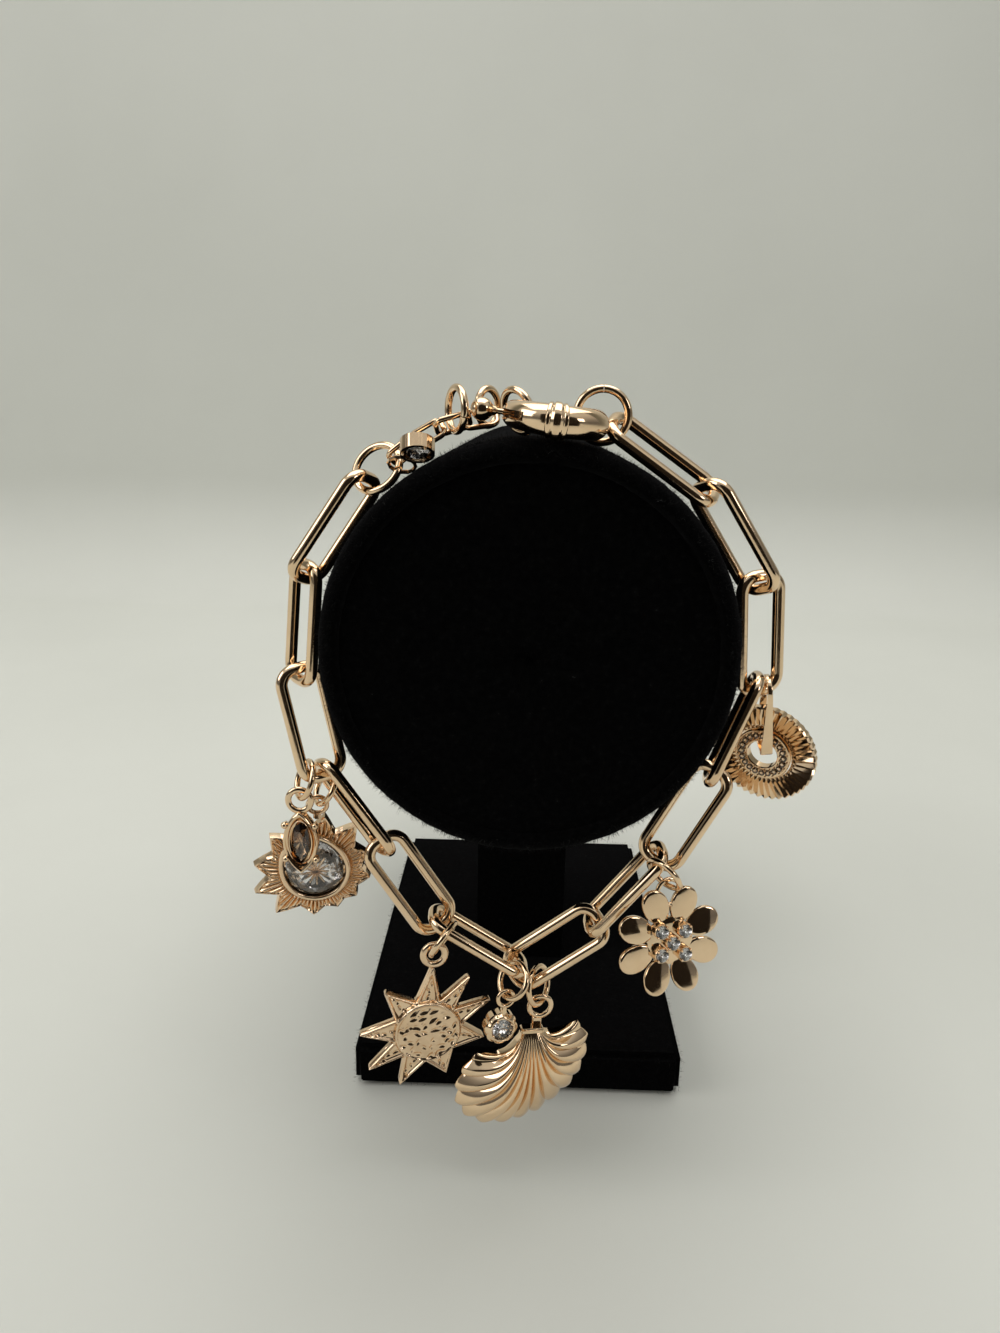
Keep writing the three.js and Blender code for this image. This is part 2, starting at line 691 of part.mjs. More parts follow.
const pearPavilion = 0.55;
const pearSink = 0.35;

function rayReach(angle) {
  const ray = sunburstRays[0];
  const turn = THREE.MathUtils.euclideanModulo(angle / degree - ray.angle, 360) + ray.angle;
  const rows = [...sunburstRays, { angle: ray.angle + 360, reach: ray.reach }];
  const after = rows.findIndex((row) => row.angle > turn);
  const [low, high] = [rows[after - 1], rows[after]];
  const share = (turn - low.angle) / (high.angle - low.angle);
  const dip = Math.abs(2 * share - 1) ** 1.3;
  const tip = share < 0.5 ? low.reach : high.reach;
  return rayNotch + (tip - rayNotch) * dip;
}

function pearReach(angle) {
  const facing = (1 + Math.cos(angle - pearTipAngle * degree)) / 2;
  return pearRadius * (1 + pearStretch * facing ** 5);
}

function makeSunburst() {
  const charm = hangCharm('sunburst');
  const drop = eyeDrop(sunburstEye.inner);
  const middle = -drop - sunburstDrop;
  const half = plateThickness / 2;
  const plate = turnedSolid(sunburstPleats * 2, (angle, spoke) => {
    const crest = half + (spoke % 2 ? -pleatHeight : pleatHeight);
    const edge = rayReach(angle);
    const seat = pearReach(angle) + stoneSeatGap;
    const wall = seat + bezelWall;
    return [
      [0, -half], [edge, -half], [edge - edgeEase, crest], [wall + edgeEase, crest],
      [wall, bezelHeight], [seat, bezelHeight], [seat, sunburstFloor], [0, sunburstFloor],
    ];
  }, false);
  const eye = eyeSolid(sunburstEye.outer, sunburstEye.inner, 0, -drop, 0);
  const neck = solidOf(new THREE.BoxGeometry(0.9, 1, 0.6), at(0, -drop - sunburstEye.outer, 0));
  const body = joined([solidOf(plate, at(0, middle, 0)), eye, neck]);
  addPiece('sunburst_plate', geometryFrom(body), materials.gold, charm);
  const stone = cutStone(pearReach, 16, pearCrown, pearPavilion);
  addPiece('sunburst_stone', stone, materials.crystal, charm).position.set(0, middle, bezelHeight - pearSink);
}

// Marquise: a pointed oval frame with four ball prongs round a narrow oval stone
const marquiseEye = { outer: 1.7, inner: 0.95 };
const marquiseLength = 7.9;
const marquiseWidth = 4.1;
const marquiseStoneLength = 4.9;
const marquiseStoneWidth = 2.2;
const marquiseProngRadius = 0.42;
const marquiseProngs = [
  { x: -1.8, y: 2.13 },
  { x: 1.8, y: 2.13 },
  { x: -1.8, y: -2.13 },
  { x: 1.8, y: -2.13 },
];

function leafReach(length, width) {
  const sag = (length ** 2 - width ** 2) / (4 * width);
  const arc = sag + width / 2;
  return (angle) => {
    const side = Math.abs(Math.cos(angle));
    return -sag * side + Math.sqrt(arc ** 2 - (sag * Math.sin(angle)) ** 2);
  };
}

function ovalReach(length, width) {
  return (angle) => 1 / Math.hypot(Math.cos(angle) / (width / 2), Math.sin(angle) / (length / 2));
}

function makeMarquise() {
  const charm = hangCharm('marquise');
  const drop = eyeDrop(marquiseEye.inner);
  const middle = -drop - marquiseEye.outer - marquiseLength / 2 + 0.5;
  const outer = leafReach(marquiseLength, marquiseWidth);
  const inner = ovalReach(marquiseStoneLength + 2 * stoneSeatGap, marquiseStoneWidth + 2 * stoneSeatGap);
  const frame = turnedSolid(20, (angle) => [
    [0, -0.8], [outer(angle), -0.6], [outer(angle), 0.5], [outer(angle) - 0.35, 0.7],
    [inner(angle) + 0.25, 0.1], [inner(angle) + 0.1, 0.45],
    [inner(angle), 0.45], [inner(angle), -0.4], [0, -0.4],
  ], false);
  const solids = [solidOf(frame, at(0, middle, 0))];
  solids.push(eyeSolid(marquiseEye.outer, marquiseEye.inner, 0, -drop, 0));
  marquiseProngs.forEach(({ x, y }) => {
    const prong = new THREE.SphereGeometry(marquiseProngRadius, 6, 4);
    solids.push(solidOf(prong, at(x, middle + y, 0.35)));
  });
  addPiece('marquise_frame', geometryFrom(joined(solids)), materials.gold, charm);
  const stone = cutStone(ovalReach(marquiseStoneLength, marquiseStoneWidth), 12, 0.4, 0.35);
  addPiece('marquise_stone', stone, materials.crystal, charm).position.set(0, middle, 0.2);
}

// Star: nine flat points round a domed middle with a raised rim
const starEye = { outer: 1.75, inner: 0.9 };
const starDrop = 10.4;
const starPoints = [
  { angle: -9, reach: 7.7 },
  { angle: 29, reach: 9.4 },
  { angle: 58, reach: 9.7 },
  { angle: 90, reach: 9.4 },
  { angle: 136, reach: 8.3 },
  { angle: 182, reach: 8.9 },
  { angle: 217, reach: 9.4 },
  { angle: 249, reach: 8.6 },
  { angle: 295, reach: 7.1 },
];
const starNotch = 4.5;
const starRimRadius = 4.1;
const starRimWidth = 0.45;
const starDomeHeight = 0.95;

// A straight-sided outline through tips and notches, as a reach at each angle.
function straightReach(angle, from, to) {
  const [x1, y1] = [from.reach * Math.cos(from.turn), from.reach * Math.sin(from.turn)];
  const [x2, y2] = [to.reach * Math.cos(to.turn), to.reach * Math.sin(to.turn)];
  const cross = x1 * y2 - y1 * x2;
  return cross / ((y2 - y1) * Math.cos(angle) - (x2 - x1) * Math.sin(angle));
}

const spokesPerHalfPoint = 3;

function starSpokes() {
  const spokes = [];
  starPoints.forEach((tip, index) => {
    const next = starPoints[(index + 1) % starPoints.length];
    const nextAngle = next.angle + (index === starPoints.length - 1 ? 360 : 0);
    const start = { turn: tip.angle * degree, reach: tip.reach };
    const notch = { turn: (tip.angle + nextAngle) / 2 * degree, reach: starNotch };
    const end = { turn: nextAngle * degree, reach: next.reach };
    // The spokes crowd towards the tips.
    for (const [from, to] of [[start, notch], [notch, end]]) {
      const crowding = from === start ? 1.6 : 0.62;
      for (let i = 0; i < spokesPerHalfPoint; i++) {
        const turn = from.turn + (to.turn - from.turn) * (i / spokesPerHalfPoint) ** crowding;
        spokes.push({ turn, reach: straightReach(turn, from, to) });
      }
    }
  });
  return spokes;
}

// Like turnedSolid, for spokes at uneven angles.
function spokedSolid(spokes, sectionAt) {
  const even = turnedSolid(spokes.length, (angle, index) => sectionAt(spokes[index]), false);
  const position = even.attributes.position;
  const count = sectionAt(spokes[0]).length - 2;
  for (let i = 0; i < spokes.length; i++) {
    for (let j = 0; j < count; j++) {
      const index = i * count + j;
      const radius = Math.hypot(position.getX(index), position.getY(index));
      position.setX(index, radius * Math.cos(spokes[i].turn));
      position.setY(index, radius * Math.sin(spokes[i].turn));
    }
  }
  even.computeVertexNormals();
  return even;
}

function makeStar() {
  const charm = hangCharm('star');
  const drop = eyeDrop(starEye.inner);
  const middle = -drop - starDrop;
  const star = spokedSolid(starSpokes(), ({ reach }) => [
    [0, -0.5], [reach, -0.5], [reach * 0.98, 0.35],
    [starRimRadius + 0.05, 0.25], [starRimRadius, 0.65], [starRimRadius - starRimWidth, 0.5],
    [starRimRadius * 0.5, starDomeHeight - 0.1], [0, starDomeHeight],
  ]);
  const body = joined([solidOf(star, at(0, middle, 0)), eyeSolid(starEye.outer, starEye.inner, 0, -drop, 0)]);
  addPiece('star', geometryFrom(body), materials.gold, charm);
}

// Shell: a puffy scallop whose ribs fan out from a short hinge bar. Each row is a rib's middle: where it
// ends on the rim and the point its curve bends towards, from the middle of the hinge.
const shellEye = { outer: 1.7, inner: 1.05 };
const shellDrop = 2.9;
const shellShift = -1;
const shellHingeWidth = 2.6;
const shellFront = 2.6;
const shellBack = 1.2;
const shellRibDepth = 0.42;
const shellRibs = [
  { endX: -6.6, endY: -3.4, bendX: -1.9, bendY: -3.6 },
  { endX: -8.1, endY: -5.2, bendX: -2.2, bendY: -4.9 },
  { endX: -8.9, endY: -7.6, bendX: -2.3, bendY: -6.4 },
  { endX: -8.8, endY: -10, bendX: -2.1, bendY: -7.6 },
  { endX: -7.6, endY: -12, bendX: -1.6, bendY: -8.4 },
  { endX: -5.5, endY: -13.2, bendX: -1, bendY: -8.6 },
  { endX: -2.9, endY: -13.4, bendX: -0.4, bendY: -8.2 },
  { endX: -0.5, endY: -12.9, bendX: 0, bendY: -7.4 },
  { endX: 1.8, endY: -12, bendX: 0.4, bendY: -6.6 },
  { endX: 3.9, endY: -10.2, bendX: 0.9, bendY: -5.8 },
  { endX: 5.7, endY: -8.4, bendX: 1.4, bendY: -5.2 },
  { endX: 6.9, endY: -6.3, bendX: 1.9, bendY: -4.4 },
  { endX: 7.5, endY: -3.9, bendX: 2.2, bendY: -3.4 },
  { endX: 7.4, endY: -1.4, bendX: 2.4, bendY: -2.2 },
  { endX: 5.9, endY: 0.6, bendX: 2.4, bendY: -0.9 },
];

function rowAt(rows, share, key) {
  const where = share * (rows.length - 1);
  const low = Math.min(Math.floor(where), rows.length - 2);
  return THREE.MathUtils.lerp(rows[low][key], rows[low + 1][key], where - low);
}

function shellPoint(share, along, side) {
  const startX = (share - 0.5) * shellHingeWidth;
  const [bendX, bendY] = [rowAt(shellRibs, share, 'bendX'), rowAt(shellRibs, share, 'bendY')];
  const ribs = shellRibs.length;
  const crest = Math.abs(Math.sin(Math.PI * (share * (ribs - 1) + 0.5)));
  const flare = 1 + 0.05 * (crest - 0.5) * along;
  const [endX, endY] = [rowAt(shellRibs, share, 'endX') * flare, rowAt(shellRibs, share, 'endY') * flare];
  const [a, b, c] = [(1 - along) ** 2, 2 * along * (1 - along), along ** 2];
  const across = 1 - (2 * share - 1) ** 4;
  const puff = Math.sqrt(Math.max(0, across)) * Math.sin(Math.PI * (0.1 + 0.9 * along)) ** 0.6;
  const height = side > 0
    ? puff * (shellFront + shellRibDepth * crest)
    : -puff * shellBack;
  return new THREE.Vector3(a * startX + b * bendX + c * endX, b * bendY + c * endY, height);
}

function makeShell() {
  const charm = hangCharm('shell');
  const drop = eyeDrop(shellEye.inner);
  const top = -drop - shellDrop;
  const across = (shellRibs.length - 1) * 2;
  const along = 7;
  const rimShare = 0.985;
  // Each row crosses the shell from one side edge over the front and back behind.
  const rows = [];
  for (let j = 0; j <= along; j++) {
    const row = [];
    const way = j / along;
    for (let i = 0; i <= across; i++) row.push(shellPoint(i / across, way * rimShare, 1));
    for (let i = across - 1; i > 0; i--) row.push(shellPoint(i / across, way * rimShare, -1));
    rows.push(row.reverse());
  }
  const body = loftedSolid(rows, false);
  const hingeBar = new THREE.BoxGeometry(3, 0.8, 1.5);
  const solids = [solidOf(body, at(shellShift, top, 0)), solidOf(hingeBar, at(shellShift, top, 0.4))];
  solids.push(eyeSolid(shellEye.outer, shellEye.inner, 0, -drop, 0));
  const neck = new THREE.BoxGeometry(1.2, 1.5, 0.6);
  solids.push(solidOf(neck, at(shellShift / 3, -drop - shellEye.outer - 0.4, 0)));
  addPiece('shell', geometryFrom(joined(solids)), materials.gold, charm);
}

// Mini charm: one round crystal in a fluted cup, on a ring of its own beside the shell
const miniStoneRadius = 1.25;
const miniEye = { outer: 1.25, inner: 0.75 };
const miniNeck = 1.1;
const miniFlutes = 8;

function makeMini() {
  const charm = hangCharm('mini');
  const drop = eyeDrop(miniEye.inner);
  const middle = -drop - miniEye.outer - miniStoneRadius - 0.4 - miniNeck;
  const seat = miniStoneRadius + stoneSeatGap;
  const cup = turnedSolid(miniFlutes * 2, (angle, spoke) => {
    const wall = seat + (spoke % 2 ? 0.4 : 0.7);
    return [[0, -1.4], [wall * 0.8, -1.4], [wall, 0], [wall, 0.3], [seat, 0.3], [seat, -1.05], [0, -1.05]];
  }, false);
  const eye = eyeSolid(miniEye.outer, miniEye.inner, 0, -drop, 0);
  const neckPlace = at(0, -drop - miniEye.outer - miniNeck / 2, -0.3);
  const neck = solidOf(new THREE.BoxGeometry(0.7, miniNeck + 0.6, 0.6), neckPlace);
  const body = joined([solidOf(cup, at(0, middle, 0)), eye, neck]);
  addPiece('mini_cup', geometryFrom(body), materials.gold, charm);
  addPiece('mini_stone', roundStone(miniStoneRadius), materials.crystal, charm).position.set(0, middle, 0.15);
}

// Flower: eight flat petals with five small round stones in the middle
const flowerPetals = 8;
const petalReach = 6.8;
const petalNotch = 2.9;
const petalThickness = 0.7;
const flowerDrop = 5.9;
const flowerEye = { outer: 1.85, inner: 1.25 };
const flowerStoneRadius = 0.68;
const flowerCupHeight = 1.1;
const flowerCupWall = 0.16;
const flowerCupDepth = 0.55;
const flowerCupLip = 0.12;
const flowerStones = [
  { x: -1.45, y: 1.55 },
  { x: 1.55, y: 1.3 },
  { x: 0, y: 0 },
  { x: -1.45, y: -1.3 },
  { x: 1.55, y: -1.55 },
];

function petalReachAt(angle) {
  const turn = THREE.MathUtils.euclideanModulo(angle * flowerPetals / fullTurn, 1) * 2 - 1;
  const round = Math.sqrt(Math.max(0, 1 - Math.abs(turn) ** 3.2));
  return petalNotch + (petalReach - petalNotch) * round;
}

function makeFlower() {
  const charm = hangCharm('flower');
  const drop = eyeDrop(flowerEye.inner);
  const middle = -drop - flowerDrop;
  const half = petalThickness / 2;
  const petals = turnedSolid(flowerPetals * 7, (angle) => {
    const edge = petalReachAt(angle);
    return [[0, -half], [edge, -half], [edge, half * 0.6], [edge - 0.25, half], [1.6, half], [0, half]];
  }, false);
  const solids = [solidOf(petals, at(0, middle, 0)), eyeSolid(flowerEye.outer, flowerEye.inner, 0, -drop, 0)];
  flowerStones.forEach(({ x, y }) => {
    const cup = stoneCup(flowerStoneRadius, flowerCupWall, flowerCupDepth, flowerCupLip, 8);
    solids.push(solidOf(cup, at(x, middle + y, flowerCupHeight)));
  });
  addPiece('flower_petals', geometryFrom(joined(solids)), materials.gold, charm);
  flowerStones.forEach(({ x, y }, index) => {
    const cut = roundStone(flowerStoneRadius).scale(1, 1, 0.85);
    const stone = addPiece(`flower_stone_${index + 1}`, cut, materials.crystal, charm);
    stone.position.set(x, middle + y, flowerCupHeight + flowerCupLip);
  });
}

// Disc: a pleated washer with a band of small stones, on a long strap bail
const discRadius = 6.2;
const discHole = 1.75;
const discBandRadius = 3.3;
const discPleats = 44;
const discHang = { link: 3, end: 'last', across: 1.12, yaw: -38, lean: 17, swing: 6 };
const bailLength = 10;
const bailDepth = 3.6;
const bailTopWidth = 0.5;
const bailFootWidth = 1.3;
const bailStrap = 0.4;
const bailEase = 0.42;
const bailBend = 0.6;
const discThickness = 0.9;
const discRipple = 0.18;
const discRest = 0.75;
const paveStones = 16;

function makeDisc() {
  const link = chain[discHang.link - 1];
  const point = barPoint(link, discHang.end, discHang.across);
  const hinge = new THREE.Group();
  hinge.position.copy(point);
  hinge.quaternion.copy(charmTurn({ yaw: 0, lean: discHang.lean, swing: discHang.swing }));
  bracelet.add(hinge);

  // The bail is one strap bent into a long loop, seen edge-on from the side.
  const reach = linkWire / 2 + bailEase + bailStrap;
  const halfDepth = bailDepth / 2;
  const low = reach - bailLength;
  const loop = (inset) => {
    const top = reach - inset;
    const bottom = low + inset;
    const wide = halfDepth - inset;
    const bend = bailBend - inset;
    const shape = new THREE.Shape();
    shape.moveTo(wide, top - wide);
    shape.absarc(0, top - wide, wide, 0, Math.PI);
    shape.absarc(-wide + bend, bottom + bend, bend, Math.PI, 1.5 * Math.PI);
    shape.absarc(wide - bend, bottom + bend, bend, 1.5 * Math.PI, fullTurn);
    return shape;
  };
  const strap = loop(0);
  strap.holes.push(loop(bailStrap));
  const strapGeometry = extruded(strap, 1, 6);
  strapGeometry.translate(0, 0, -0.5);
  strapGeometry.rotateY(Math.PI / 2);
  const corner = strapGeometry.attributes.position;
  for (let i = 0; i < corner.count; i++) {
    const down = THREE.MathUtils.smoothstep(-corner.getY(i), -reach, bailLength * 0.75);
    corner.setX(i, corner.getX(i) * THREE.MathUtils.lerp(bailTopWidth, bailFootWidth, down));
  }
  strapGeometry.computeVertexNormals();
  addPiece('disc_bail', strapGeometry, materials.gold, hinge);

  // The washer hangs on the bail's lowest bend and is turned away to the right.
  const charm = new THREE.Group();
  charm.position.set(0, low + bailStrap + discRest - discHole, 0);
  charm.rotation.y = discHang.yaw * degree;
  hinge.add(charm);
  const half = discThickness / 2;
  const seat = discBandRadius + clearance;
  const disc = turnedSolid(discPleats * 2, (angle, spoke) => {
    const crest = half + (spoke % 2 ? -discRipple : discRipple);
    return [
      [seat, -half], [discRadius, -half], [discRadius - edgeEase, crest], [seat + edgeEase, crest],
      [seat, half - edgeEase],
    ];
  }, true);
  addPiece('disc', disc, materials.gold, charm);
  const band = turnedSolid(40, () => [
    [discHole, -half], [discBandRadius, -half], [discBandRadius, half + 0.15], [discHole, half + 0.15],
  ], true);
  const solids = [solidOf(band)];
  for (let i = 0; i < paveStones; i++) {
    const angle = i / paveStones * fullTurn;
    const radius = (discHole + discBandRadius) / 2;
    const stone = turnedSolid(brilliantSides, () => [[0, -0.2], [0.36, 0], [0.2, 0.14], [0, 0.14]], false);
    solids.push(solidOf(stone, at(radius * Math.cos(angle), radius * Math.sin(angle), half + 0.17)));
  }
  addPiece('disc_pave', geometryFrom(joined(solids)), materials.gold, charm);
}

makeStand();
makeLinks('link_', chain, linkPitch, linkWire, linkWidth, linkCorner, 2);
makeClasp();
makeEndRings();
makeExtender();
makeDrop();
makeSunburst();
makeMarquise();
makeStar();
makeShell();
makeMini();
makeFlower();
makeDisc();

export default bracelet;
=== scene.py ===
"""Looks of the charm bracelet on its velvet display stand.

Shapes are in millimetres until a mesh is made.
"""
import json
import math
import random

import bmesh
import bpy
import numpy as np
from mathutils import Matrix, Vector


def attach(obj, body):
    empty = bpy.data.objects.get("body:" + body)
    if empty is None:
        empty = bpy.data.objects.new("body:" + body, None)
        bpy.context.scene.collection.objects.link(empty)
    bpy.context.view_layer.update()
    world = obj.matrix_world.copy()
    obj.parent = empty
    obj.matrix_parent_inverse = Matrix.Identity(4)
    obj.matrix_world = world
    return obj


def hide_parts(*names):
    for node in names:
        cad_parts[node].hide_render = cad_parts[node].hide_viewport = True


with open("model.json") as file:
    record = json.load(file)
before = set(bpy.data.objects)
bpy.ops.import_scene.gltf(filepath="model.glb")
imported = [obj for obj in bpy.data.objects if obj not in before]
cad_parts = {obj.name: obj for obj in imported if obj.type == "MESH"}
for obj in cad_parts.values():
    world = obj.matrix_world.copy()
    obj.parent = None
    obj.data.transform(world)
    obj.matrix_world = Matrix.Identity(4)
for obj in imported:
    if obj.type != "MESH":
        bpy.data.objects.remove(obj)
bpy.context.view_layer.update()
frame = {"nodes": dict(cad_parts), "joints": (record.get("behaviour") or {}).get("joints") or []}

MM = 0.001
TURN = 2 * math.pi

# Camera: the photograph's place and angle
CAMERA_PLACE = (-0.604, -154.643, 97.016)
CAMERA_YAW = -0.02462
CAMERA_PITCH = 0.26438
CAMERA_ROLL = 0.01766
FOCAL_PIXELS = 950
IMAGE_HEIGHT = 1333


def make_camera():
    data = bpy.data.cameras.new("camera")
    data.sensor_width = 36
    data.lens = FOCAL_PIXELS / IMAGE_HEIGHT * data.sensor_width
    data.clip_start = 0.01
    data.clip_end = 20
    camera = bpy.data.objects.new("camera", data)
    bpy.context.collection.objects.link(camera)
    forward = Vector((
        math.sin(CAMERA_YAW) * math.cos(CAMERA_PITCH),
        math.cos(CAMERA_YAW) * math.cos(CAMERA_PITCH),
        -math.sin(CAMERA_PITCH),
    ))
    right = Vector((math.cos(CAMERA_YAW), -math.sin(CAMERA_YAW), 0))
    up = right.cross(forward)
    level_right = right
    right = math.cos(CAMERA_ROLL) * level_right + math.sin(CAMERA_ROLL) * up
    up = -math.sin(CAMERA_ROLL) * level_right + math.cos(CAMERA_ROLL) * up
    turn = Matrix((right, up, -forward)).transposed().to_4x4()
    camera.matrix_world = Matrix.Translation(Vector(CAMERA_PLACE) * MM) @ turn
    bpy.context.scene.camera = camera


make_camera()


# Materials
def material(name, **settings):
    made = bpy.data.materials.new(name)
    made.use_nodes = True
    shader = made.node_tree.nodes["Principled BSDF"]
    for key, value in settings.items():
        shader.inputs[key.replace("_", " ")].default_value = value
    return made, made.node_tree.nodes, made.node_tree.links, shader


def noise(nodes, links, scale, detail=2.0):
    place = nodes.new("ShaderNodeTexCoord")
    texture = nodes.new("ShaderNodeTexNoise")
    texture.inputs["Scale"].default_value = scale
    texture.inputs["Detail"].default_value = detail
    links.new(place.outputs["Object"], texture.inputs["Vector"])
    return texture.outputs["Fac"]


def ramp(nodes, links, source, stops):
    made = nodes.new("ShaderNodeValToRGB")
    while len(made.color_ramp.elements) < len(stops):
        made.color_ramp.elements.new(0.5)
    for element, (place, colour) in zip(made.color_ramp.elements, stops):
        element.position = place
        element.color = (*colour, 1)
    links.new(source, made.inputs["Fac"])
    return made.outputs["Color"]


def bump(nodes, links, height, strength, distance, shader):
    made = nodes.new("ShaderNodeBump")
    made.inputs["Strength"].default_value = strength
    made.inputs["Distance"].default_value = distance
    links.new(height, made.inputs["Height"])
    links.new(made.outputs["Normal"], shader.inputs["Normal"])


def grey(value):
    return (value, value, value)


def gold_material(name, low, high, smooth, rough, relief_scale, relief):
    made, nodes, links, shader = material(name, Metallic=1.0)
    patches = noise(nodes, links, 260, 3)
    links.new(ramp(nodes, links, patches, [(0.35, low), (0.65, high)]), shader.inputs["Base Color"])
    fine = noise(nodes, links, 900, 4)
    gloss = ramp(nodes, links, fine, [(0.3, grey(smooth)), (0.75, grey(rough))])
    links.new(gloss, shader.inputs["Roughness"])
    bump(nodes, links, noise(nodes, links, relief_scale, 3), relief, 0.0002, shader)
    return made


GOLD = gold_material("polished_gold", (0.8, 0.58, 0.37), (0.88, 0.66, 0.44), 0.07, 0.16, 350, 0.03)
HAMMERED = gold_material("hammered_gold", (0.8, 0.58, 0.38), (0.9, 0.68, 0.47), 0.12, 0.24, 1100, 0.14)
MIRROR = gold_material("mirror_gold", (0.82, 0.6, 0.39), (0.89, 0.67, 0.45), 0.04, 0.09, 200, 0.02)


def crystal_material():
    made, nodes, links, shader = material(
        "clear_crystal", Roughness=0.0, IOR=1.75, Transmission_Weight=1.0, Specular_IOR_Level=0.6)
    tints = [(0.3, (0.9, 0.9, 0.93)), (0.5, (0.98, 0.97, 0.96)), (0.7, (0.97, 0.93, 0.93))]
    links.new(ramp(nodes, links, noise(nodes, links, 700), tints), shader.inputs["Base Color"])
    return made


def foil_material(name, low, high):
    made, nodes, links, shader = material(name, Metallic=1.0, Roughness=0.08)
    tints = [(0.35, low), (0.65, high)]
    links.new(ramp(nodes, links, noise(nodes, links, 1500), tints), shader.inputs["Base Color"])
    return made


CRYSTAL = crystal_material()
FOIL = foil_material("silver_foil", (0.72, 0.71, 0.72), (0.97, 0.97, 0.97))
# Brown foil under the marquise stone and the disc's pavé stones: its brown is a painted reflection on
# clear stones.
BROWN_PAINTED_REFLECTION = foil_material("brown_reflection_foil", (0.3, 0.17, 0.09), (0.72, 0.5, 0.31))


def velvet_material():
    made, nodes, links, shader = material(
        "black_velvet", Roughness=1.0, Specular_IOR_Level=0.0, Sheen_Weight=0.035, Sheen_Roughness=0.5)
    shader.inputs["Sheen Tint"].default_value = (0.75, 0.75, 0.8, 1)
    pile = [(0.35, grey(0.001)), (0.62, grey(0.002)), (0.76, grey(0.004)), (0.84, grey(0.03))]
    links.new(ramp(nodes, links, noise(nodes, links, 1600, 3), pile), shader.inputs["Base Color"])
    bump(nodes, links, noise(nodes, links, 2600, 3), 0.3, 0.0002, shader)
    return made


def fibre_material():
    made, nodes, links, shader = material("velvet_fibre", Roughness=1.0, Specular_IOR_Level=0.1)
    shades = [(0.35, grey(0.002)), (0.6, grey(0.008)), (0.78, grey(0.05))]
    links.new(ramp(nodes, links, noise(nodes, links, 900), shades), shader.inputs["Base Color"])
    return made


VELVET = velvet_material()
FIBRE = fibre_material()


# Making meshes
def add_piece(name, points, faces, materials, body, stands_for, place=None, smooth=32, kinds=None):
    """points in mm in the piece's own place; kinds gives each face's material number."""
    if place is None:
        place = Matrix.Identity(4)
    mesh = bpy.data.meshes.new(name)
    mesh.from_pydata([(place @ Vector(p)) * MM for p in points], [], [tuple(f) for f in faces])
    for each in materials:
        mesh.materials.append(each)
    if kinds is not None:
        mesh.polygons.foreach_set("material_index", kinds)
    if smooth:
        mesh.polygons.foreach_set("use_smooth", [True] * len(mesh.polygons))
        mesh.update()
        mesh.set_sharp_from_angle(angle=math.radians(smooth))
    made = bpy.data.objects.new(name, mesh)
    bpy.context.collection.objects.link(made)
    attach(made, body)
    if stands_for:
        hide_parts(*stands_for)
    return made


class Shape:
    """Points and faces that are gathered part by part, each part with its material number."""

    def __init__(self):
        self.points, self.faces, self.kinds = [], [], []

    def add(self, points, faces, place=None, kind=0):
        start = len(self.points)
        for p in points:
            self.points.append(place @ Vector(p) if place else Vector(p))
        self.faces += [tuple(start + i for i in face) for face in faces]
        self.kinds += [kind] * len(faces) if isinstance(kind, int) else kind


def rows_of_faces(rows, count, close_rows, close_count=True):
    faces = []
    for i in range(rows if close_rows else rows - 1):
        for j in range(count if close_count else count - 1):
            a, b = i * count + j, i * count + (j + 1) % count
            c, d = (i + 1) % rows * count + (j + 1) % count, (i + 1) % rows * count + j
            faces.append((a, d, c, b))
    return faces


def swept(path, normal, section, closed=True):
    """A section of (out, up) points carried along a flat path whose plane's normal is given."""
    path = [Vector(p) for p in path]
    normal = Vector(normal).normalized()
    points = []
    for i, point in enumerate(path):
        before = path[i - 1] if closed or i else point
        after = path[(i + 1) % len(path)] if closed or i < len(path) - 1 else point
        out = (after - before).cross(normal).normalized()
        points += [point + out * u + normal * v for u, v in section(i / len(path))]
    count = len(points) // len(path)
    faces = rows_of_faces(len(path), count, closed)
    if not closed:
        faces += [tuple(range(count)), tuple(reversed(range(len(points) - count, len(points))))]
    return points, faces


def circle_section(radius, sides):
    turns = [TURN * j / sides for j in range(sides)]
    return lambda share: [(radius * math.cos(t), radius * math.sin(t)) for t in turns]


def loop_path(half_length, half_width, corner, steps=9):
    path = []
    for x, y, start in ((1, 1, 0), (-1, 1, 90), (-1, -1, 180), (1, -1, 270)):
        for i in range(steps + 1):
            turn = math.radians(start + 90 * i / steps)
            path.append((
                x * (half_length - corner) + corner * math.cos(turn),
                y * (half_width - corner) + corner * math.sin(turn), 0))
    return path


def arc_path(radius, start, end, steps):
    turns = [math.radians(start + (end - start) * i / steps) for i in range(steps + 1)]
    return [(radius * math.cos(t), radius * math.sin(t), 0) for t in turns]


def node_place(node):
    """Where a flat loop lies: its longest way on X, its next on Y and its thin way on Z."""
    points = np.array([v.co for v in frame["nodes"][node].data.vertices], float) / MM
    mean = points.mean(0)
    axes = np.linalg.eigh(np.cov((points - mean).T))[1][:, ::-1]
    spread = (points - mean) @ axes
    centre = mean + axes @ ((spread.max(0) + spread.min(0)) / 2)
    x, y = Vector(axes[:, 0]), Vector(axes[:, 1])
    place = Matrix((x, y, x.cross(y))).transposed().to_4x4()
    reach = np.hypot(*((points - centre) @ axes)[:, :2].T).max()
    return Matrix.Translation(Vector(centre)) @ place, float(reach)


def pivot(name):
    """A joint's place in mm, or nothing where there is no such joint."""
    for joint in frame["joints"]:
        if joint["name"] == name:
            return Vector(joint["pos_m"]) / MM
    return None


# Chain, extender and rings
WIRE_SIDES = 20
LINK = {"half_length": 6.585, "half_width": 2.325, "corner": 1.8, "wire": 0.675}
SMALL_LINK = {"half_length": 1.81, "half_width": 1.1, "corner": 0.75, "wire": 0.3}


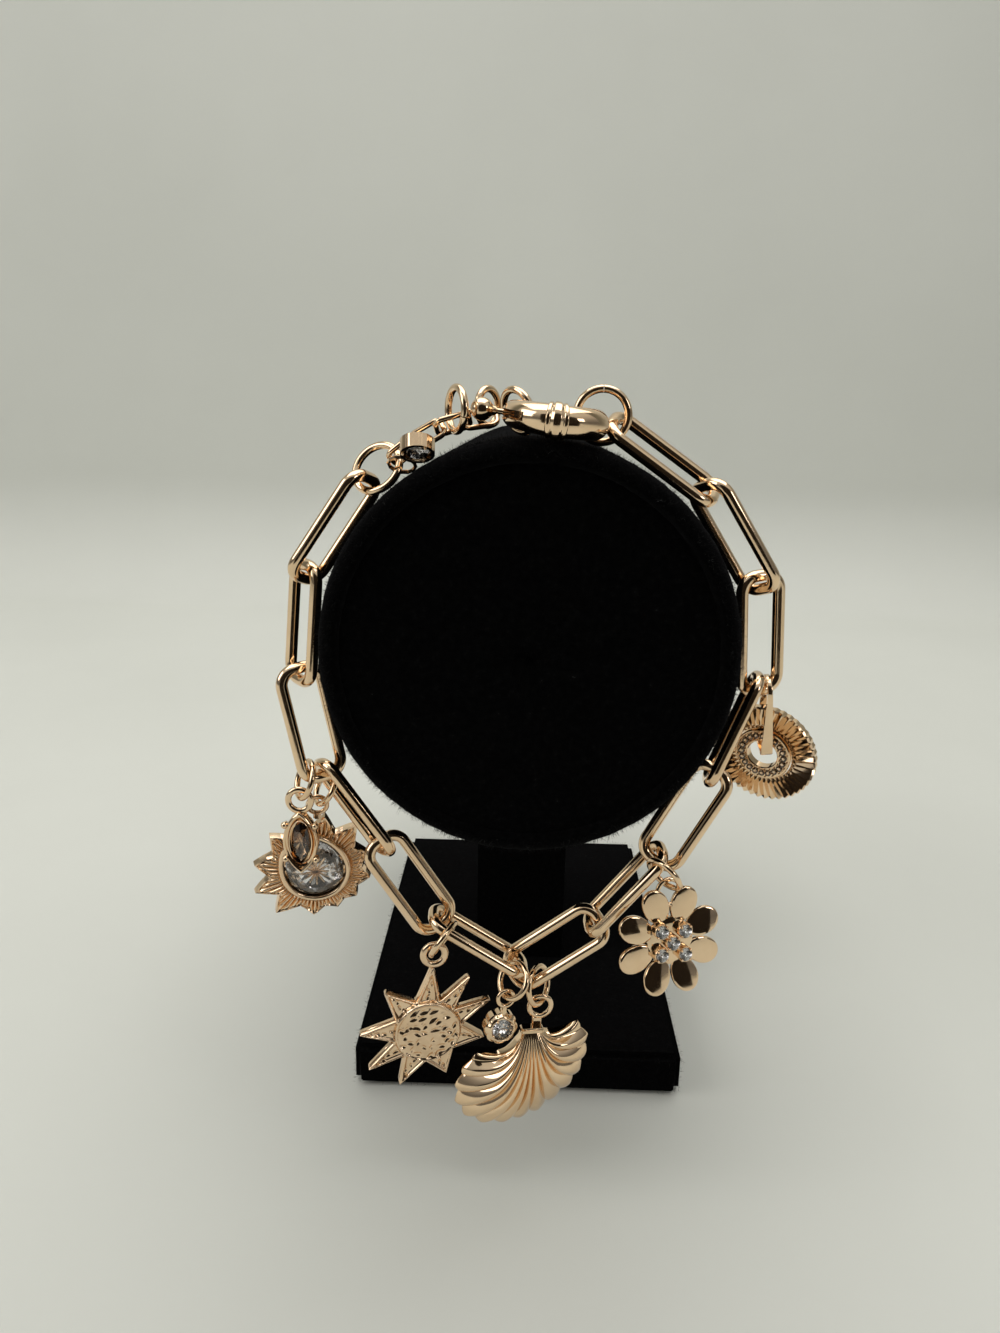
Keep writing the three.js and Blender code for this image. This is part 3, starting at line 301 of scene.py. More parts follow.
def add_link(node, size):
    path = loop_path(size["half_length"], size["half_width"], size["corner"])
    points, faces = swept(path, (0, 0, 1), circle_section(size["wire"], WIRE_SIDES))
    place, _ = node_place(node)
    add_piece(f"{node}_wire", points, faces, [GOLD], "stand", [node], place)


for number in range(1, 14):
    add_link(f"link_{number:02d}", LINK)
for number in range(1, 5):
    add_link(f"extender_link_{number:02d}", SMALL_LINK)

# Each ring is bent from wire: its two ends meet at a fine seam.
RING_WIRES = {
    "ring_right": 0.425, "ring_left": 0.425,
    "clasp_ring_1": 0.4, "clasp_ring_2": 0.4, "clasp_ring_3": 0.4,
    "sunburst_ring": 0.35, "marquise_ring": 0.35, "star_ring": 0.35,
    "shell_ring": 0.35, "mini_ring": 0.35, "flower_ring": 0.35,
}
for index, (node, wire) in enumerate(RING_WIRES.items()):
    place, reach = node_place(node)
    path = arc_path(reach - wire, 0.8, 359.2, 60)
    points, faces = swept(path, (0, 0, 1), circle_section(wire, WIRE_SIDES), closed=False)
    seam = Matrix.Rotation(index * 1.1, 4, "Z")
    add_piece(f"{node}_wire", points, faces, [GOLD], "stand", [node], place @ seam, 60)


# Clasp
CLASP_PLACE = (
    Matrix.Translation(pivot("clasp_gate_slide"))
    @ Matrix.Rotation(math.radians(6.5), 4, "Y")
    @ Matrix.Rotation(math.radians(2), 4, "X")
)
CLASP_RADIUS = 4.25
GATE_BORE = 0.75
GATE_ROD = 0.6
# The clasp's tube and collars: the angle round the ring and the tube's radius there
CLASP_TUBE = [
    (125, 1.05), (168, 1.1), (192, 1.45), (270, 1.6), (335, 1.6), (356, 1.3), (371, 0.85),
    (380, 0.8), (436, 0.8),
]
FRONT_COLLAR = [
    (258, 1.45), (258.6, 1.72), (259.6, 1.8), (262, 1.8), (263.6, 1.7), (265, 1.78), (267, 1.88),
    (273, 1.88), (275, 1.78), (276.4, 1.7), (278, 1.8), (280.4, 1.8), (281.4, 1.72), (282, 1.45),
]
BACK_COLLAR = [(416, 0.75), (418, 1.3), (421, 1.15), (426, 1.4), (431, 1.15), (436, 1.3)]


def eased_table(table, share_steps):
    """The table's rows joined by smooth steps."""
    rows = []
    for (a, low), (b, high) in zip(table, table[1:]):
        for i in range(share_steps):
            share = i / share_steps
            rows.append((a + (b - a) * share, low + (high - low) * share * share * (3 - 2 * share)))
    return rows + [table[-1]]


def bent_tube(rows, sides):
    points = []
    for angle, radius in rows:
        turn = math.radians(angle)
        for j in range(sides):
            around = TURN * j / sides
            reach = CLASP_RADIUS + radius * math.cos(around)
            points.append((reach * math.cos(turn), reach * math.sin(turn), radius * math.sin(around)))
    faces = rows_of_faces(len(rows), sides, False)
    faces += [tuple(range(sides)), tuple(reversed(range(len(points) - sides, len(points))))]
    return points, faces


def rounded_end(rows, where, length):
    """Draws the tube in at one of its ends."""
    angle, radius = rows[where]
    way = 1 if where else -1
    extra = []
    for share in (0.4, 0.75, 1):
        extra.append((angle + way * length * share, radius * math.sqrt(1 - share ** 2 * 0.75)))
    return rows + extra if where else list(reversed(extra)) + rows


def cut_away(piece, points, faces, place):
    """Takes a shape out of a finished piece."""
    mesh = bpy.data.meshes.new("cutter")
    mesh.from_pydata([(place @ Vector(p)) * MM for p in points], [], faces)
    cutter = bpy.data.objects.new("cutter", mesh)
    bpy.context.collection.objects.link(cutter)
    step = piece.modifiers.new("cut", "BOOLEAN")
    step.operation, step.solver, step.object = "DIFFERENCE", "EXACT", cutter
    bpy.context.view_layer.update()
    shown = piece.evaluated_get(bpy.context.evaluated_depsgraph_get())
    result = bpy.data.meshes.new_from_object(shown)
    piece.modifiers.clear()
    piece.data = result
    bpy.data.objects.remove(cutter)


def make_clasp():
    shape = Shape()
    tube = rounded_end(eased_table(CLASP_TUBE, 10), -1, 2)
    shape.add(*bent_tube(tube, 28))
    body = add_piece(
        "clasp_barrel", shape.points, shape.faces, [GOLD], "stand", ["clasp_body"], CLASP_PLACE)
    bore = [(angle, GATE_BORE) for angle in range(119, 240, 5)]
    cut_away(body, *bent_tube(bore, 16), CLASP_PLACE)
    slot_reach, slot_half = CLASP_RADIUS + 3, 0.45
    slot = []
    for angle in range(174, 238, 4):
        turn = math.radians(angle)
        for reach, height in (
                (CLASP_RADIUS, -slot_half), (slot_reach, -slot_half),
                (slot_reach, slot_half), (CLASP_RADIUS, slot_half)):
            slot.append((reach * math.cos(turn), reach * math.sin(turn), height))
    rows = len(slot) // 4
    slot_faces = rows_of_faces(rows, 4, False) + [(0, 1, 2, 3), tuple(4 * rows - 1 - i for i in range(4))]
    cut_away(body, slot, slot_faces, CLASP_PLACE)
    body.data.polygons.foreach_set("use_smooth", [True] * len(body.data.polygons))
    body.data.set_sharp_from_angle(angle=math.radians(40))
    collars = Shape()
    for table in (FRONT_COLLAR, BACK_COLLAR):
        collars.add(*bent_tube(eased_table(table, 3), 28))
    add_piece("clasp_collars", collars.points, collars.faces, [GOLD], "stand", [], CLASP_PLACE, 50)

    gate = Shape()
    gate.add(*bent_tube([(angle, GATE_ROD) for angle in range(78, 186, 3)], 16))
    neck_radius, ball_radius, ball_reach = 0.3, 1.2, 7.7
    profile = [(-4.3, 0.3), (-5.9, neck_radius), (-6.1, neck_radius), (-6.35, 0.5), (-6.5, 0.5)]
    for i in range(1, 15):
        turn = math.pi * (0.13 + 0.87 * i / 14)
        radius = max(ball_radius * math.sin(turn), 0.01)
        profile.append((-ball_reach + ball_radius * math.cos(turn), radius))
    turns = [TURN * j / 24 for j in range(24)]
    points = [(x, r * math.cos(t), r * math.sin(t)) for x, r in profile for t in turns]
    gate.add(points, rows_of_faces(len(profile), len(turns), False))
    add_piece(
        "clasp_gate_rod", gate.points, gate.faces, [GOLD], "clasp_gate", ["clasp_gate"],
        CLASP_PLACE, 50)


make_clasp()


# Charms: X to the right, Y up, Z to the viewer, from the ring's lowest wire
def charm_place(place, yaw, lean, swing):
    return (
        Matrix.Translation(place)
        @ Matrix.Rotation(math.radians(yaw), 4, "Z")
        @ Matrix.Rotation(math.radians(90 + lean), 4, "X")
        @ Matrix.Rotation(math.radians(swing), 4, "Z")
    )


def hook(name):
    """Where a charm hangs: its joint, or else the lowest wire of its ring."""
    place = pivot(f"{name}_swing")
    if place is not None:
        return place
    ring, reach = node_place(f"{name}_ring")
    normal = ring.to_3x3() @ Vector((0, 0, 1))
    down = Vector((0, 0, -1))
    down = (down - normal * down.dot(normal)).normalized()
    return ring.translation + down * (reach - RING_WIRES[f"{name}_ring"])


# Each charm's turn to the side, lean back and swing, in degrees
CHARM_TURNS = {
    "sunburst": (12, 9, -3),
    "marquise": (0, 0, 0),
    "star": (14, 0, -5),
    "shell": (12, 0, -3),
    "mini": (20, -4, -8),
    "flower": (18, -8, 0),
    "disc": (0, 17, 6),
}
CHARMS = {name: charm_place(hook(name), *turns) for name, turns in CHARM_TURNS.items()}


def shift(x, y, z):
    return Matrix.Translation((x, y, z))


def gem(reach_at, sides, crown, pavilion, table=0.56):
    """A cut stone on its girdle: table, stars, kites and girdle facets, then the pavilion."""
    def ring(shares, radius, height):
        reaches = [radius * reach_at(t) for t in shares]
        return [(r * math.cos(t), r * math.sin(t), height) for r, t in zip(reaches, shares)]
    whole = [TURN * i / sides for i in range(sides)]
    half = [t + TURN / sides / 2 for t in whole]
    both = [TURN * i / (2 * sides) for i in range(2 * sides)]
    points = ring(whole, table, crown) + ring(half, 0.8, crown * 0.6) + ring(both, 1, 0.04)
    points += ring(both, 1, -0.04) + ring(half, 0.42, -pavilion * 0.66) + [(0, 0, -pavilion)]
    first_kite, first_top, first_low = sides, 2 * sides, 4 * sides
    first_main, culet = 6 * sides, 7 * sides
    faces = [tuple(range(sides))]
    for i in range(sides):
        n, p = (i + 1) % sides, (i - 1) % sides
        top = [first_top + (2 * i + k) % (2 * sides) for k in range(3)]
        faces += [
            (i, first_kite + i, n), (i, first_kite + p, top[0], first_kite + i),
            (first_kite + i, top[0], top[1]), (first_kite + i, top[1], top[2]),
        ]
    crown_faces = len(faces)
    for i in range(2 * sides):
        n = (i + 1) % (2 * sides)
        faces.append((first_top + i, first_low + i, first_low + n, first_top + n))
    for i in range(sides):
        p = (i - 1) % sides
        low = [first_low + (2 * i + k) % (2 * sides) for k in range(3)]
        faces += [
            (culet, first_main + i, low[0], first_main + p),
            (first_main + i, low[1], low[0]), (first_main + i, low[2], low[1]),
        ]
    kinds = [0] * (crown_faces + 2 * sides) + [1] * (3 * sides)
    return points, faces, kinds


def add_gem(name, node, body, place, reach_at, sides, crown, pavilion, foil=None):
    points, faces, kinds = gem(reach_at, sides, crown, pavilion)
    add_piece(name, points, faces, [CRYSTAL, foil or FOIL], body, [node], place, 0, kinds)


def field(reach_at, height_at, floor, turns, rings, hole=0.0, crowd=1.0):
    """A plate seen from above: its front is a height at each point, its back is flat."""
    angles = [TURN * i / turns for i in range(turns)]
    reaches = [reach_at(t) for t in angles]
    points = []
    for j in range(rings + 1):
        share = (j / rings) ** crowd
        for t, reach in zip(angles, reaches):
            radius = hole + (reach - hole) * share
            x, y = radius * math.cos(t), radius * math.sin(t)
            points.append((x, y, height_at(x, y, t, radius, reach)))
    base = len(points)
    points += [(x, y, floor) for x, y, _ in points[-turns:]]
    faces = []
    for j in range(rings + 1):
        for i in range(turns):
            n = (i + 1) % turns
            faces.append((j * turns + i, (j + 1) * turns + i, (j + 1) * turns + n, j * turns + n))
    if hole:
        points += [(x, y, floor) for x, y, _ in points[:turns]]
        inner = base + turns
        for i in range(turns):
            n = (i + 1) % turns
            faces += [(base + i, inner + i, inner + n, base + n), (inner + i, i, n, inner + n)]
    else:
        points.append((0, 0, floor))
        for i in range(turns):
            faces.append((base + (i + 1) % turns, base + i, base + turns))
    return points, faces


def eye(outer, inner, drop, depth=0.8):
    wire = (outer - inner) / 2
    path = arc_path((outer + inner) / 2, 0, 360 - 360 / 40, 39)
    points, faces = swept(path, (0, 0, 1), lambda share: [
        (wire * math.cos(TURN * j / 16), wire * depth * math.sin(TURN * j / 16)) for j in range(16)])
    return points, faces, shift(0, -drop, 0)


def eased_box(width, height, depth, bevel=0.15):
    made = bmesh.new()
    bmesh.ops.create_cube(made, size=1)
    bmesh.ops.scale(made, vec=(width, height, depth), verts=made.verts)
    bmesh.ops.bevel(made, geom=made.edges[:], offset=bevel, segments=3, affect="EDGES")
    made.verts.index_update()
    points = [v.co.copy() for v in made.verts]
    faces = [[v.index for v in f.verts] for f in made.faces]
    made.free()
    return points, faces


def ball(radius, stretch=1.0):
    points, faces = [], []
    rows, sides = 9, 14
    for i in range(rows):
        tilt = math.pi * (i + 0.02) / (rows - 0.96)
        for j in range(sides):
            t = TURN * j / sides
            side = radius * math.sin(tilt)
            points.append((side * math.cos(t), side * math.sin(t), radius * stretch * math.cos(tilt)))
    faces += rows_of_faces(rows, sides, False)
    return points, faces


def step(low, high, value):
    share = min(1.0, max(0.0, (value - low) / (high - low)))
    return share * share * (3 - 2 * share)


def edge_round(distance, width):
    share = min(1.0, max(0.0, distance / width))
    return math.sqrt(1 - (1 - share) ** 2)


# Sunburst: each ray's angle and reach, from the plate's middle
RAYS = [
    (-12, 7), (20, 6.7), (53, 8.1), (83, 7.8), (112, 7.1), (139, 7.5), (174, 7.6), (204, 8.2),
    (233, 8.2), (269, 7), (296, 6.6), (321, 6.8), (348, 7),
]
RAY_NOTCH = 5.9
SUNBURST_DROP = 9.38
RIDGE_WAVES = 33
PEAR_RADIUS = 3.35
PEAR_POINT = math.radians(112)


def ray_reach(turn):
    angle = (math.degrees(turn) + 12) % 360 - 12
    for (a, low), (b, high) in zip(RAYS, RAYS[1:]):
        if angle < b:
            share = (angle - a) / (b - a)
            return RAY_NOTCH + ((low if share < 0.5 else high) - RAY_NOTCH) * abs(2 * share - 1) ** 1.3
    return RAYS[0][1]


def pear_reach(turn):
    facing = (1 + math.cos(turn - PEAR_POINT)) / 2
    return PEAR_RADIUS * (1 + 0.42 * facing ** 5)


def make_sunburst():
    place = CHARMS["sunburst"] @ shift(0, -SUNBURST_DROP, 0)
    shape = Shape()

    def height(x, y, turn, radius, reach):
        ridges = abs(math.sin(turn * RIDGE_WAVES))
        fold = 0.12 * math.sin(turn * 12 + 0.4)
        inner = step(4.1, 4.6, radius)
        outer = 1 - step(reach - 1.1, reach - 0.45, radius)
        rim = 0.3 * math.exp(-((reach - radius - 0.3) / 0.24) ** 2)
        level = 0.3 + fold + 0.46 * (ridges ** 0.8) * inner * outer + rim
        return -0.5 + (level + 0.5) * edge_round(reach - radius, 0.35)

    shape.add(*field(ray_reach, height, -0.5, RIDGE_WAVES * 24, 34))
    outline = []
    for i in range(120):
        t = TURN * i / 120
        reach = pear_reach(t) + 0.52
        outline.append((reach * math.cos(t), reach * math.sin(t), 0))
    rail = [
        (-0.34, -0.1), (0.42, -0.1), (0.4, 0.6), (0.34, 0.95), (0.2, 1.13), (0.02, 1.2), (-0.16, 1.16),
        (-0.28, 1.02), (-0.34, 0.8),
    ]
    shape.add(*swept(outline, (0, 0, 1), lambda share: rail))
    shape.add(*eye(1.4, 0.82, -9.1))
    shape.add(*eased_box(0.9, 1.1, 0.6), shift(0, 7.7, 0))
    add_piece(
        "sunburst_face", shape.points, shape.faces, [HAMMERED], "sunburst", ["sunburst_plate"],
        place, 38)
    seat = place @ shift(0, 0, 0.82)
    add_gem("sunburst_crystal", "sunburst_stone", "sunburst", seat, pear_reach, 10, 0.7, 0.75)


make_sunburst()


# Marquise
MARQUISE_DROP = 5.56


def leaf_reach(length, width):
    sag = (length ** 2 - width ** 2) / (4 * width)
    arc = sag + width / 2
    return lambda t: -sag * abs(math.cos(t)) + math.sqrt(arc ** 2 - (sag * math.sin(t)) ** 2)


def oval_reach(length, width):
    return lambda t: 1 / math.hypot(math.cos(t) / (width / 2), math.sin(t) / (length / 2))


def make_marquise():
    place = CHARMS["marquise"] @ shift(0, -MARQUISE_DROP, 0)
    outer, inner = leaf_reach(7.9, 4.1), oval_reach(5.24, 2.54)
    shape = Shape()
    turns = 96
    # The frame's section: past the stone's edge, or a share of the outer edge, and the height
    section = [
        (0, 0, -0.8), (0, 0.97, -0.72), (0, 1, -0.55), (0, 1, 0.45), (0, 0.97, 0.62), (0, 0.92, 0.7),
        (0, 0.86, 0.6), (0.62, 0, 0.16), (0.3, 0, 0.1), (0.2, 0, 0.4), (0.1, 0, 0.47), (0, 0, 0.42),
        (0, 0, -0.3), (-9, 0, -0.3),
    ]
    points = []
    for i in range(turns):
        t = TURN * i / turns
        for grow, share, z in section:
            reach = outer(t) * share if share else inner(t) + grow
            if (grow, share, z) in (section[0], section[-1]):
                reach = 0.02
            points.append((reach * math.cos(t), reach * math.sin(t), z))
    shape.add(points, [tuple(reversed(f)) for f in rows_of_faces(turns, len(section), True, False)])
    shape.add(*eye(1.7, 0.95, -5.15))
    for x in (-1.8, 1.8):
        for y in (-2.13, 2.13):
            shape.add(*ball(0.42, 1.1), shift(x, y, 0.4))
            shape.add(*eased_box(0.45, 0.45, 1, 0.12), shift(x * 0.98, y, 0))
    add_piece(
        "marquise_setting", shape.points, shape.faces, [MIRROR], "stand", ["marquise_frame"],
        place, 38)
    # The marquise stone's brown comes from its foil, a painted reflection.
    add_gem("marquise_crystal", "marquise_stone", "stand", place @ shift(0, 0, 0.2),
            oval_reach(4.9, 2.2), 8, 0.4, 0.45, BROWN_PAINTED_REFLECTION)


make_marquise()


# Star: each point's angle and reach, from the middle
STAR_TIPS = [
    (-9, 7.7), (29, 9.4), (58, 9.7), (90, 9.4), (136, 8.3), (182, 8.9), (217, 9.4), (249, 8.6),
    (295, 7.1),
]
STAR_DROP = 10.76
STAR_NOTCH = 4.5
DISC_RIM = 4.1


def star_outline():
    corners = []
    for i, (angle, reach) in enumerate(STAR_TIPS):
        after = STAR_TIPS[(i + 1) % len(STAR_TIPS)][0] + (360 if i == len(STAR_TIPS) - 1 else 0)
        for a, r in ((angle, reach), ((angle + after) / 2, STAR_NOTCH)):
            corners.append((math.radians(a), r))
    return corners


def make_star():
    place = CHARMS["star"] @ shift(0, -STAR_DROP, 0)
    corners = star_outline()
    flat = [(r * math.cos(a), r * math.sin(a)) for a, r in corners]
    start = corners[0][0]

    def sharp_reach(turn):
        turn = (turn - start) % TURN + start
        for i, (a, _) in enumerate(corners):
            b = corners[(i + 1) % len(corners)][0] + (TURN if i == len(corners) - 1 else 0)
            if turn < b:
                break
        (x1, y1), (x2, y2) = flat[i], flat[(i + 1) % len(flat)]
        return (x1 * y2 - y1 * x2) / ((y2 - y1) * math.cos(turn) - (x2 - x1) * math.sin(turn))

    def reach_at(turn):
        near = [sharp_reach(turn + math.radians(aside)) for aside in (-2.4, -1.2, 0, 1.2, 2.4)]
        return sum(near) / len(near)

    def edge_distance(x, y):
        best = 9.0
        for (x1, y1), (x2, y2) in zip(flat, flat[1:] + flat[:1]):
            dx, dy = x2 - x1, y2 - y1
            share = max(0, min(1, ((x - x1) * dx + (y - y1) * dy) / (dx * dx + dy * dy)))
            best = min(best, math.hypot(x - x1 - share * dx, y - y1 - share * dy))
        return best

    chance = random.Random(7)
    dents = []
    while len(dents) < 34:
        r, t = 3.5 * math.sqrt(chance.random()), TURN * chance.random()
        x, y = r * math.cos(t), r * math.sin(t)
        if all(math.hypot(x - d[0], y - d[1]) > 0.84 for d in dents):
            turn = chance.uniform(-0.6, 1.2)
            dents.append((x, y, turn, chance.uniform(0.34, 0.52), chance.uniform(0.18, 0.28)))
    for angle, reach in STAR_TIPS:
        for share in (0.5, 0.6, 0.7, 0.79):
            t = math.radians(angle + chance.uniform(-4, 4) * (1 - share) * 2.2)
            x, y = reach * share * math.cos(t), reach * share * math.sin(t)
            turn = t + chance.uniform(-0.5, 0.5)
            dents.append((x, y, turn, chance.uniform(0.24, 0.36), chance.uniform(0.13, 0.18)))
    table = np.array(dents)

    def dented(x, y):
        dx, dy = x - table[:, 0], y - table[:, 1]
        u = dx * np.cos(table[:, 2]) + dy * np.sin(table[:, 2])
        v = -dx * np.sin(table[:, 2]) + dy * np.cos(table[:, 2])
        far = (u / table[:, 3]) ** 2 + (v / table[:, 4]) ** 2
        return float((-0.15 * np.exp(-far) + 0.035 * np.exp(-(np.sqrt(far) - 1.7) ** 2 * 3)).sum())

    def height(x, y, turn, radius, reach):
        edge = edge_distance(x, y)
        point = 0.16 + 0.3 * math.exp(-((edge - 0.28) / 0.19) ** 2)
        dome = 0.5 + 0.42 * (1 - (radius / DISC_RIM) ** 2)
        rim = 0.26 * math.exp(-((radius - DISC_RIM + 0.2) / 0.2) ** 2)
        share = step(DISC_RIM + 0.12, DISC_RIM - 0.02, radius)
        level = point + (dome - point) * share + rim + dented(x, y)
        return -0.5 + (level + 0.5) * edge_round(edge + 0.03, 0.2)

    shape = Shape()
    shape.add(*field(reach_at, height, -0.5, 576, 84, crowd=0.85))
    shape.add(*eye(1.75, 0.9, -10.4))
    add_piece("star_face", shape.points, shape.faces, [HAMMERED], "star", ["star"], place, 50)


make_star()

# Shell: each rib's end on the rim and the point its curve bends towards
SHELL_RIBS = np.array([
    (-6.6, -3.4, -1.9, -3.6), (-8.1, -5.2, -2.2, -4.9), (-8.9, -7.6, -2.3, -6.4), (-8.8, -10, -2.1, -7.6),
    (-7.6, -12, -1.6, -8.4), (-5.5, -13.2, -1, -8.6), (-2.9, -13.4, -0.4, -8.2), (-0.5, -12.9, 0, -7.4),
    (1.8, -12, 0.4, -6.6), (3.9, -10.2, 0.9, -5.8), (5.7, -8.4, 1.4, -5.2), (6.9, -6.3, 1.9, -4.4),
    (7.5, -3.9, 2.2, -3.4), (7.4, -1.4, 2.4, -2.2), (5.9, 0.6, 2.4, -0.9),
])


def shell_point(share, along, front):
    ribs = len(SHELL_RIBS)
    where = share * (ribs - 1)
    end_x, end_y, bend_x, bend_y = [
        float(np.interp(where, range(ribs), SHELL_RIBS[:, k])) for k in range(4)]
    crest = abs(math.sin(math.pi * (where + 0.5))) ** 0.75
    flare = 1 + 0.05 * (crest - 0.5) * along
    a, b, c = (1 - along) ** 2, 2 * along * (1 - along), along ** 2
    across = max(0.0, 1 - (2 * share - 1) ** 4)
    puff = math.sqrt(across) * math.sin(math.pi * (0.1 + 0.9 * along)) ** 0.6 if along < 0.999 else 0.0
    height = puff * (2.42 + 0.62 * crest * min(1, along * 1.8)) if front else -puff * 1.2
    x = a * (share - 0.5) * 2.6 + b * bend_x + c * end_x * flare
    return (x, b * bend_y + c * end_y * flare, height)


def make_shell():
    place = CHARMS["shell"]
    shape = Shape()
    across, rows = (len(SHELL_RIBS) - 1) * 14, 40
    for front in (True, False):
        steps = across if front else (len(SHELL_RIBS) - 1) * 4
        points = []
        for j in range(rows + 1):
            along = math.sin(math.pi / 2 * j / rows) ** 1.1
            points += [shell_point(i / steps, along, front) for i in range(steps + 1)]
        faces = rows_of_faces(rows + 1, steps + 1, False, False)
        shape.add(points, faces if front else [tuple(reversed(f)) for f in faces], shift(-1, -3.41, 0))
    shape.add(*eased_box(2.9, 0.75, 1.5, 0.2), shift(-1, -3.35, 0.5))
    shape.add(*eye(1.7, 1.05, 0.51))
    shape.add(*eased_box(1.2, 1.5, 0.6), shift(-0.33, -2.61, 0))
    add_piece("shell_face", shape.points, shape.faces, [MIRROR], "shell", ["shell"], place, 70)


make_shell()


# Mini charm
MINI_DROP = 4.21


def cup(shape, place, seat, wall, depth, lip, sides=32):
    outer = seat + wall
    ring = [
        (outer, -depth), (outer, lip - 0.06), (seat + wall * 0.7, lip), (seat + wall * 0.25, lip),
        (seat, lip - 0.06), (seat, -depth),
    ]
    turns = [TURN * i / sides for i in range(sides)]
    points = [(r * math.cos(t), r * math.sin(t), z) for t in turns for r, z in ring]
    shape.add(points, [tuple(reversed(f)) for f in rows_of_faces(sides, len(ring), True)], place)
    base = [(outer * math.cos(t), outer * math.sin(t), -depth) for t in turns]
    shape.add(base, [tuple(range(sides))], place)


def claws(shape, place, radius, count, size, start=0.0):
    for i in range(count):
        t = TURN * i / count + start
        shape.add(*ball(size, 1.3), place @ shift(radius * math.cos(t), radius * math.sin(t), 0))


def make_mini():
    place = CHARMS["mini"] @ shift(0, -MINI_DROP, 0)
    shape = Shape()

    def height(x, y, turn, radius, reach):
        return 0.3 - 0.5 * step(1.55, reach, radius) if radius > 1.45 else -0.9

    def reach_at(turn):
        return 1.86 + 0.24 * abs(math.cos(turn * 4)) ** 0.7

    shape.add(*field(reach_at, height, -1.4, 128, 20))
    cup(shape, shift(0, 0, 0.05), 1.36, 0.2, 1.2, 0.3)
    claws(shape, shift(0, 0, 0.4), 1.33, 4, 0.18, 0.6)
    shape.add(*eye(1.25, 0.75, -4))
    shape.add(*eased_box(0.7, 1.7, 0.6), shift(0, 2.2, -0.3))
    add_piece("mini_setting", shape.points, shape.faces, [GOLD], "stand", ["mini_cup"], place, 40)
    seat = place @ shift(0, 0, 0.15)
    add_gem("mini_crystal", "mini_stone", "stand", seat, lambda t: 1.25, 8, 0.42, 0.95)


make_mini()

# Flower: eight mirror petals, each with its own small tilt, and five claw-set stones
FLOWER_DROP = 6.61
FLOWER_STONES = [(-1.45, 1.55), (1.55, 1.3), (0, 0), (-1.45, -1.3), (1.55, -1.55)]
PETAL_TILTS = [
    {"angle": 67.5, "back": -2, "roll": 0}, {"angle": 112.5, "back": -2, "roll": 0},
    {"angle": 22.5, "back": 2, "roll": -11}, {"angle": 157.5, "back": 0, "roll": 6},
    {"angle": -22.5, "back": 1, "roll": 0}, {"angle": 202.5, "back": 1, "roll": 0},
    {"angle": -67.5, "back": -10, "roll": -3}, {"angle": 247.5, "back": -10, "roll": 3},
]


def petal(shape, place):
    """A rounded plate from the flower's middle, on X, with a soft polished edge."""
    turns, rings = 48, 8
    edge = []
    for i in range(turns):
        t = TURN * i / turns
        x = math.cos(t)
        width = 1.76 * (1 - 0.15 * (1 - x) / 2)
        edge.append((4.6 + 2.2 * x, width * math.sin(t)))

    def height(share):
        return 0.3 - 0.1 * share ** 2 if share < 1 else 0.2
    points = []
    for j in range(1, rings + 1):
        share = j / rings * 0.95
        points += [(4.65 + (x - 4.65) * share, y * share, height(share)) for x, y in edge]
    for grow, z in ((0.985, 0.15), (1, 0.02), (1, -0.25), (0.97, -0.33)):
        points += [(4.65 + (x - 4.65) * grow, y * grow, z) for x, y in edge]
    rows = rings + 4
    faces = rows_of_faces(rows, turns, False)
    faces += [tuple(range(turns)), tuple(reversed(range(len(points) - turns, len(points))))]
    shape.add(points, [tuple(reversed(f)) for f in faces], place)


def make_flower():
    place = CHARMS["flower"] @ shift(0, -FLOWER_DROP, 0)
    hinge = 2.6
    shape = Shape()
    for tilt in PETAL_TILTS:
        turn = Matrix.Rotation(math.radians(tilt["angle"]), 4, "Z")
        back = Matrix.Rotation(math.radians(tilt["back"]), 4, "Y")
        roll = Matrix.Rotation(math.radians(tilt["roll"]), 4, "X")
        petal(shape, turn @ shift(hinge, 0, 0) @ back @ roll @ shift(-hinge, 0, 0))

    def middle_height(x, y, turn, radius, reach):
        return 0.3 - 0.1 * step(2.2, 2.9, radius)

    shape.add(*field(lambda t: 2.9, middle_height, -0.33, 48, 6))
    shape.add(*eye(1.85, 1.25, -5.9))
    add_piece(
        "flower_face", shape.points, shape.faces, [MIRROR], "flower", ["flower_petals"], place, 40)
    setting = Shape()
    for index, (x, y) in enumerate(FLOWER_STONES):
        seat = shift(x, y, 1.1)
        cup(setting, seat, 0.8, 0.13, 0.85, 0.06, 24)
        claws(setting, seat @ shift(0, 0, 0.24), 0.8, 4, 0.16, 0.785)
        add_gem(
            f"flower_crystal_{index + 1}", f"flower_stone_{index + 1}", "flower",
            place @ shift(x, y, 1.22), lambda t: 0.78, 8, 0.22, 0.46)
    add_piece("flower_claws", setting.points, setting.faces, [GOLD], "flower", [], place, 40)


make_flower()

# Disc and its strap bail: the disc rests on the strap's foot and turns about it
PLEATS = 44
DISC_RADIUS = 6.2
DISC_BAND = 3.3
DISC_HOLE = 1.75
DISC_BACK = -0.45
STRAP_FOOT = 7.73
DISC_REST = 0.375
DISC_TURNS = (-6, -30)


def pleat_share(turn):
    return abs((turn * PLEATS / TURN) % 1 * 2 - 1)


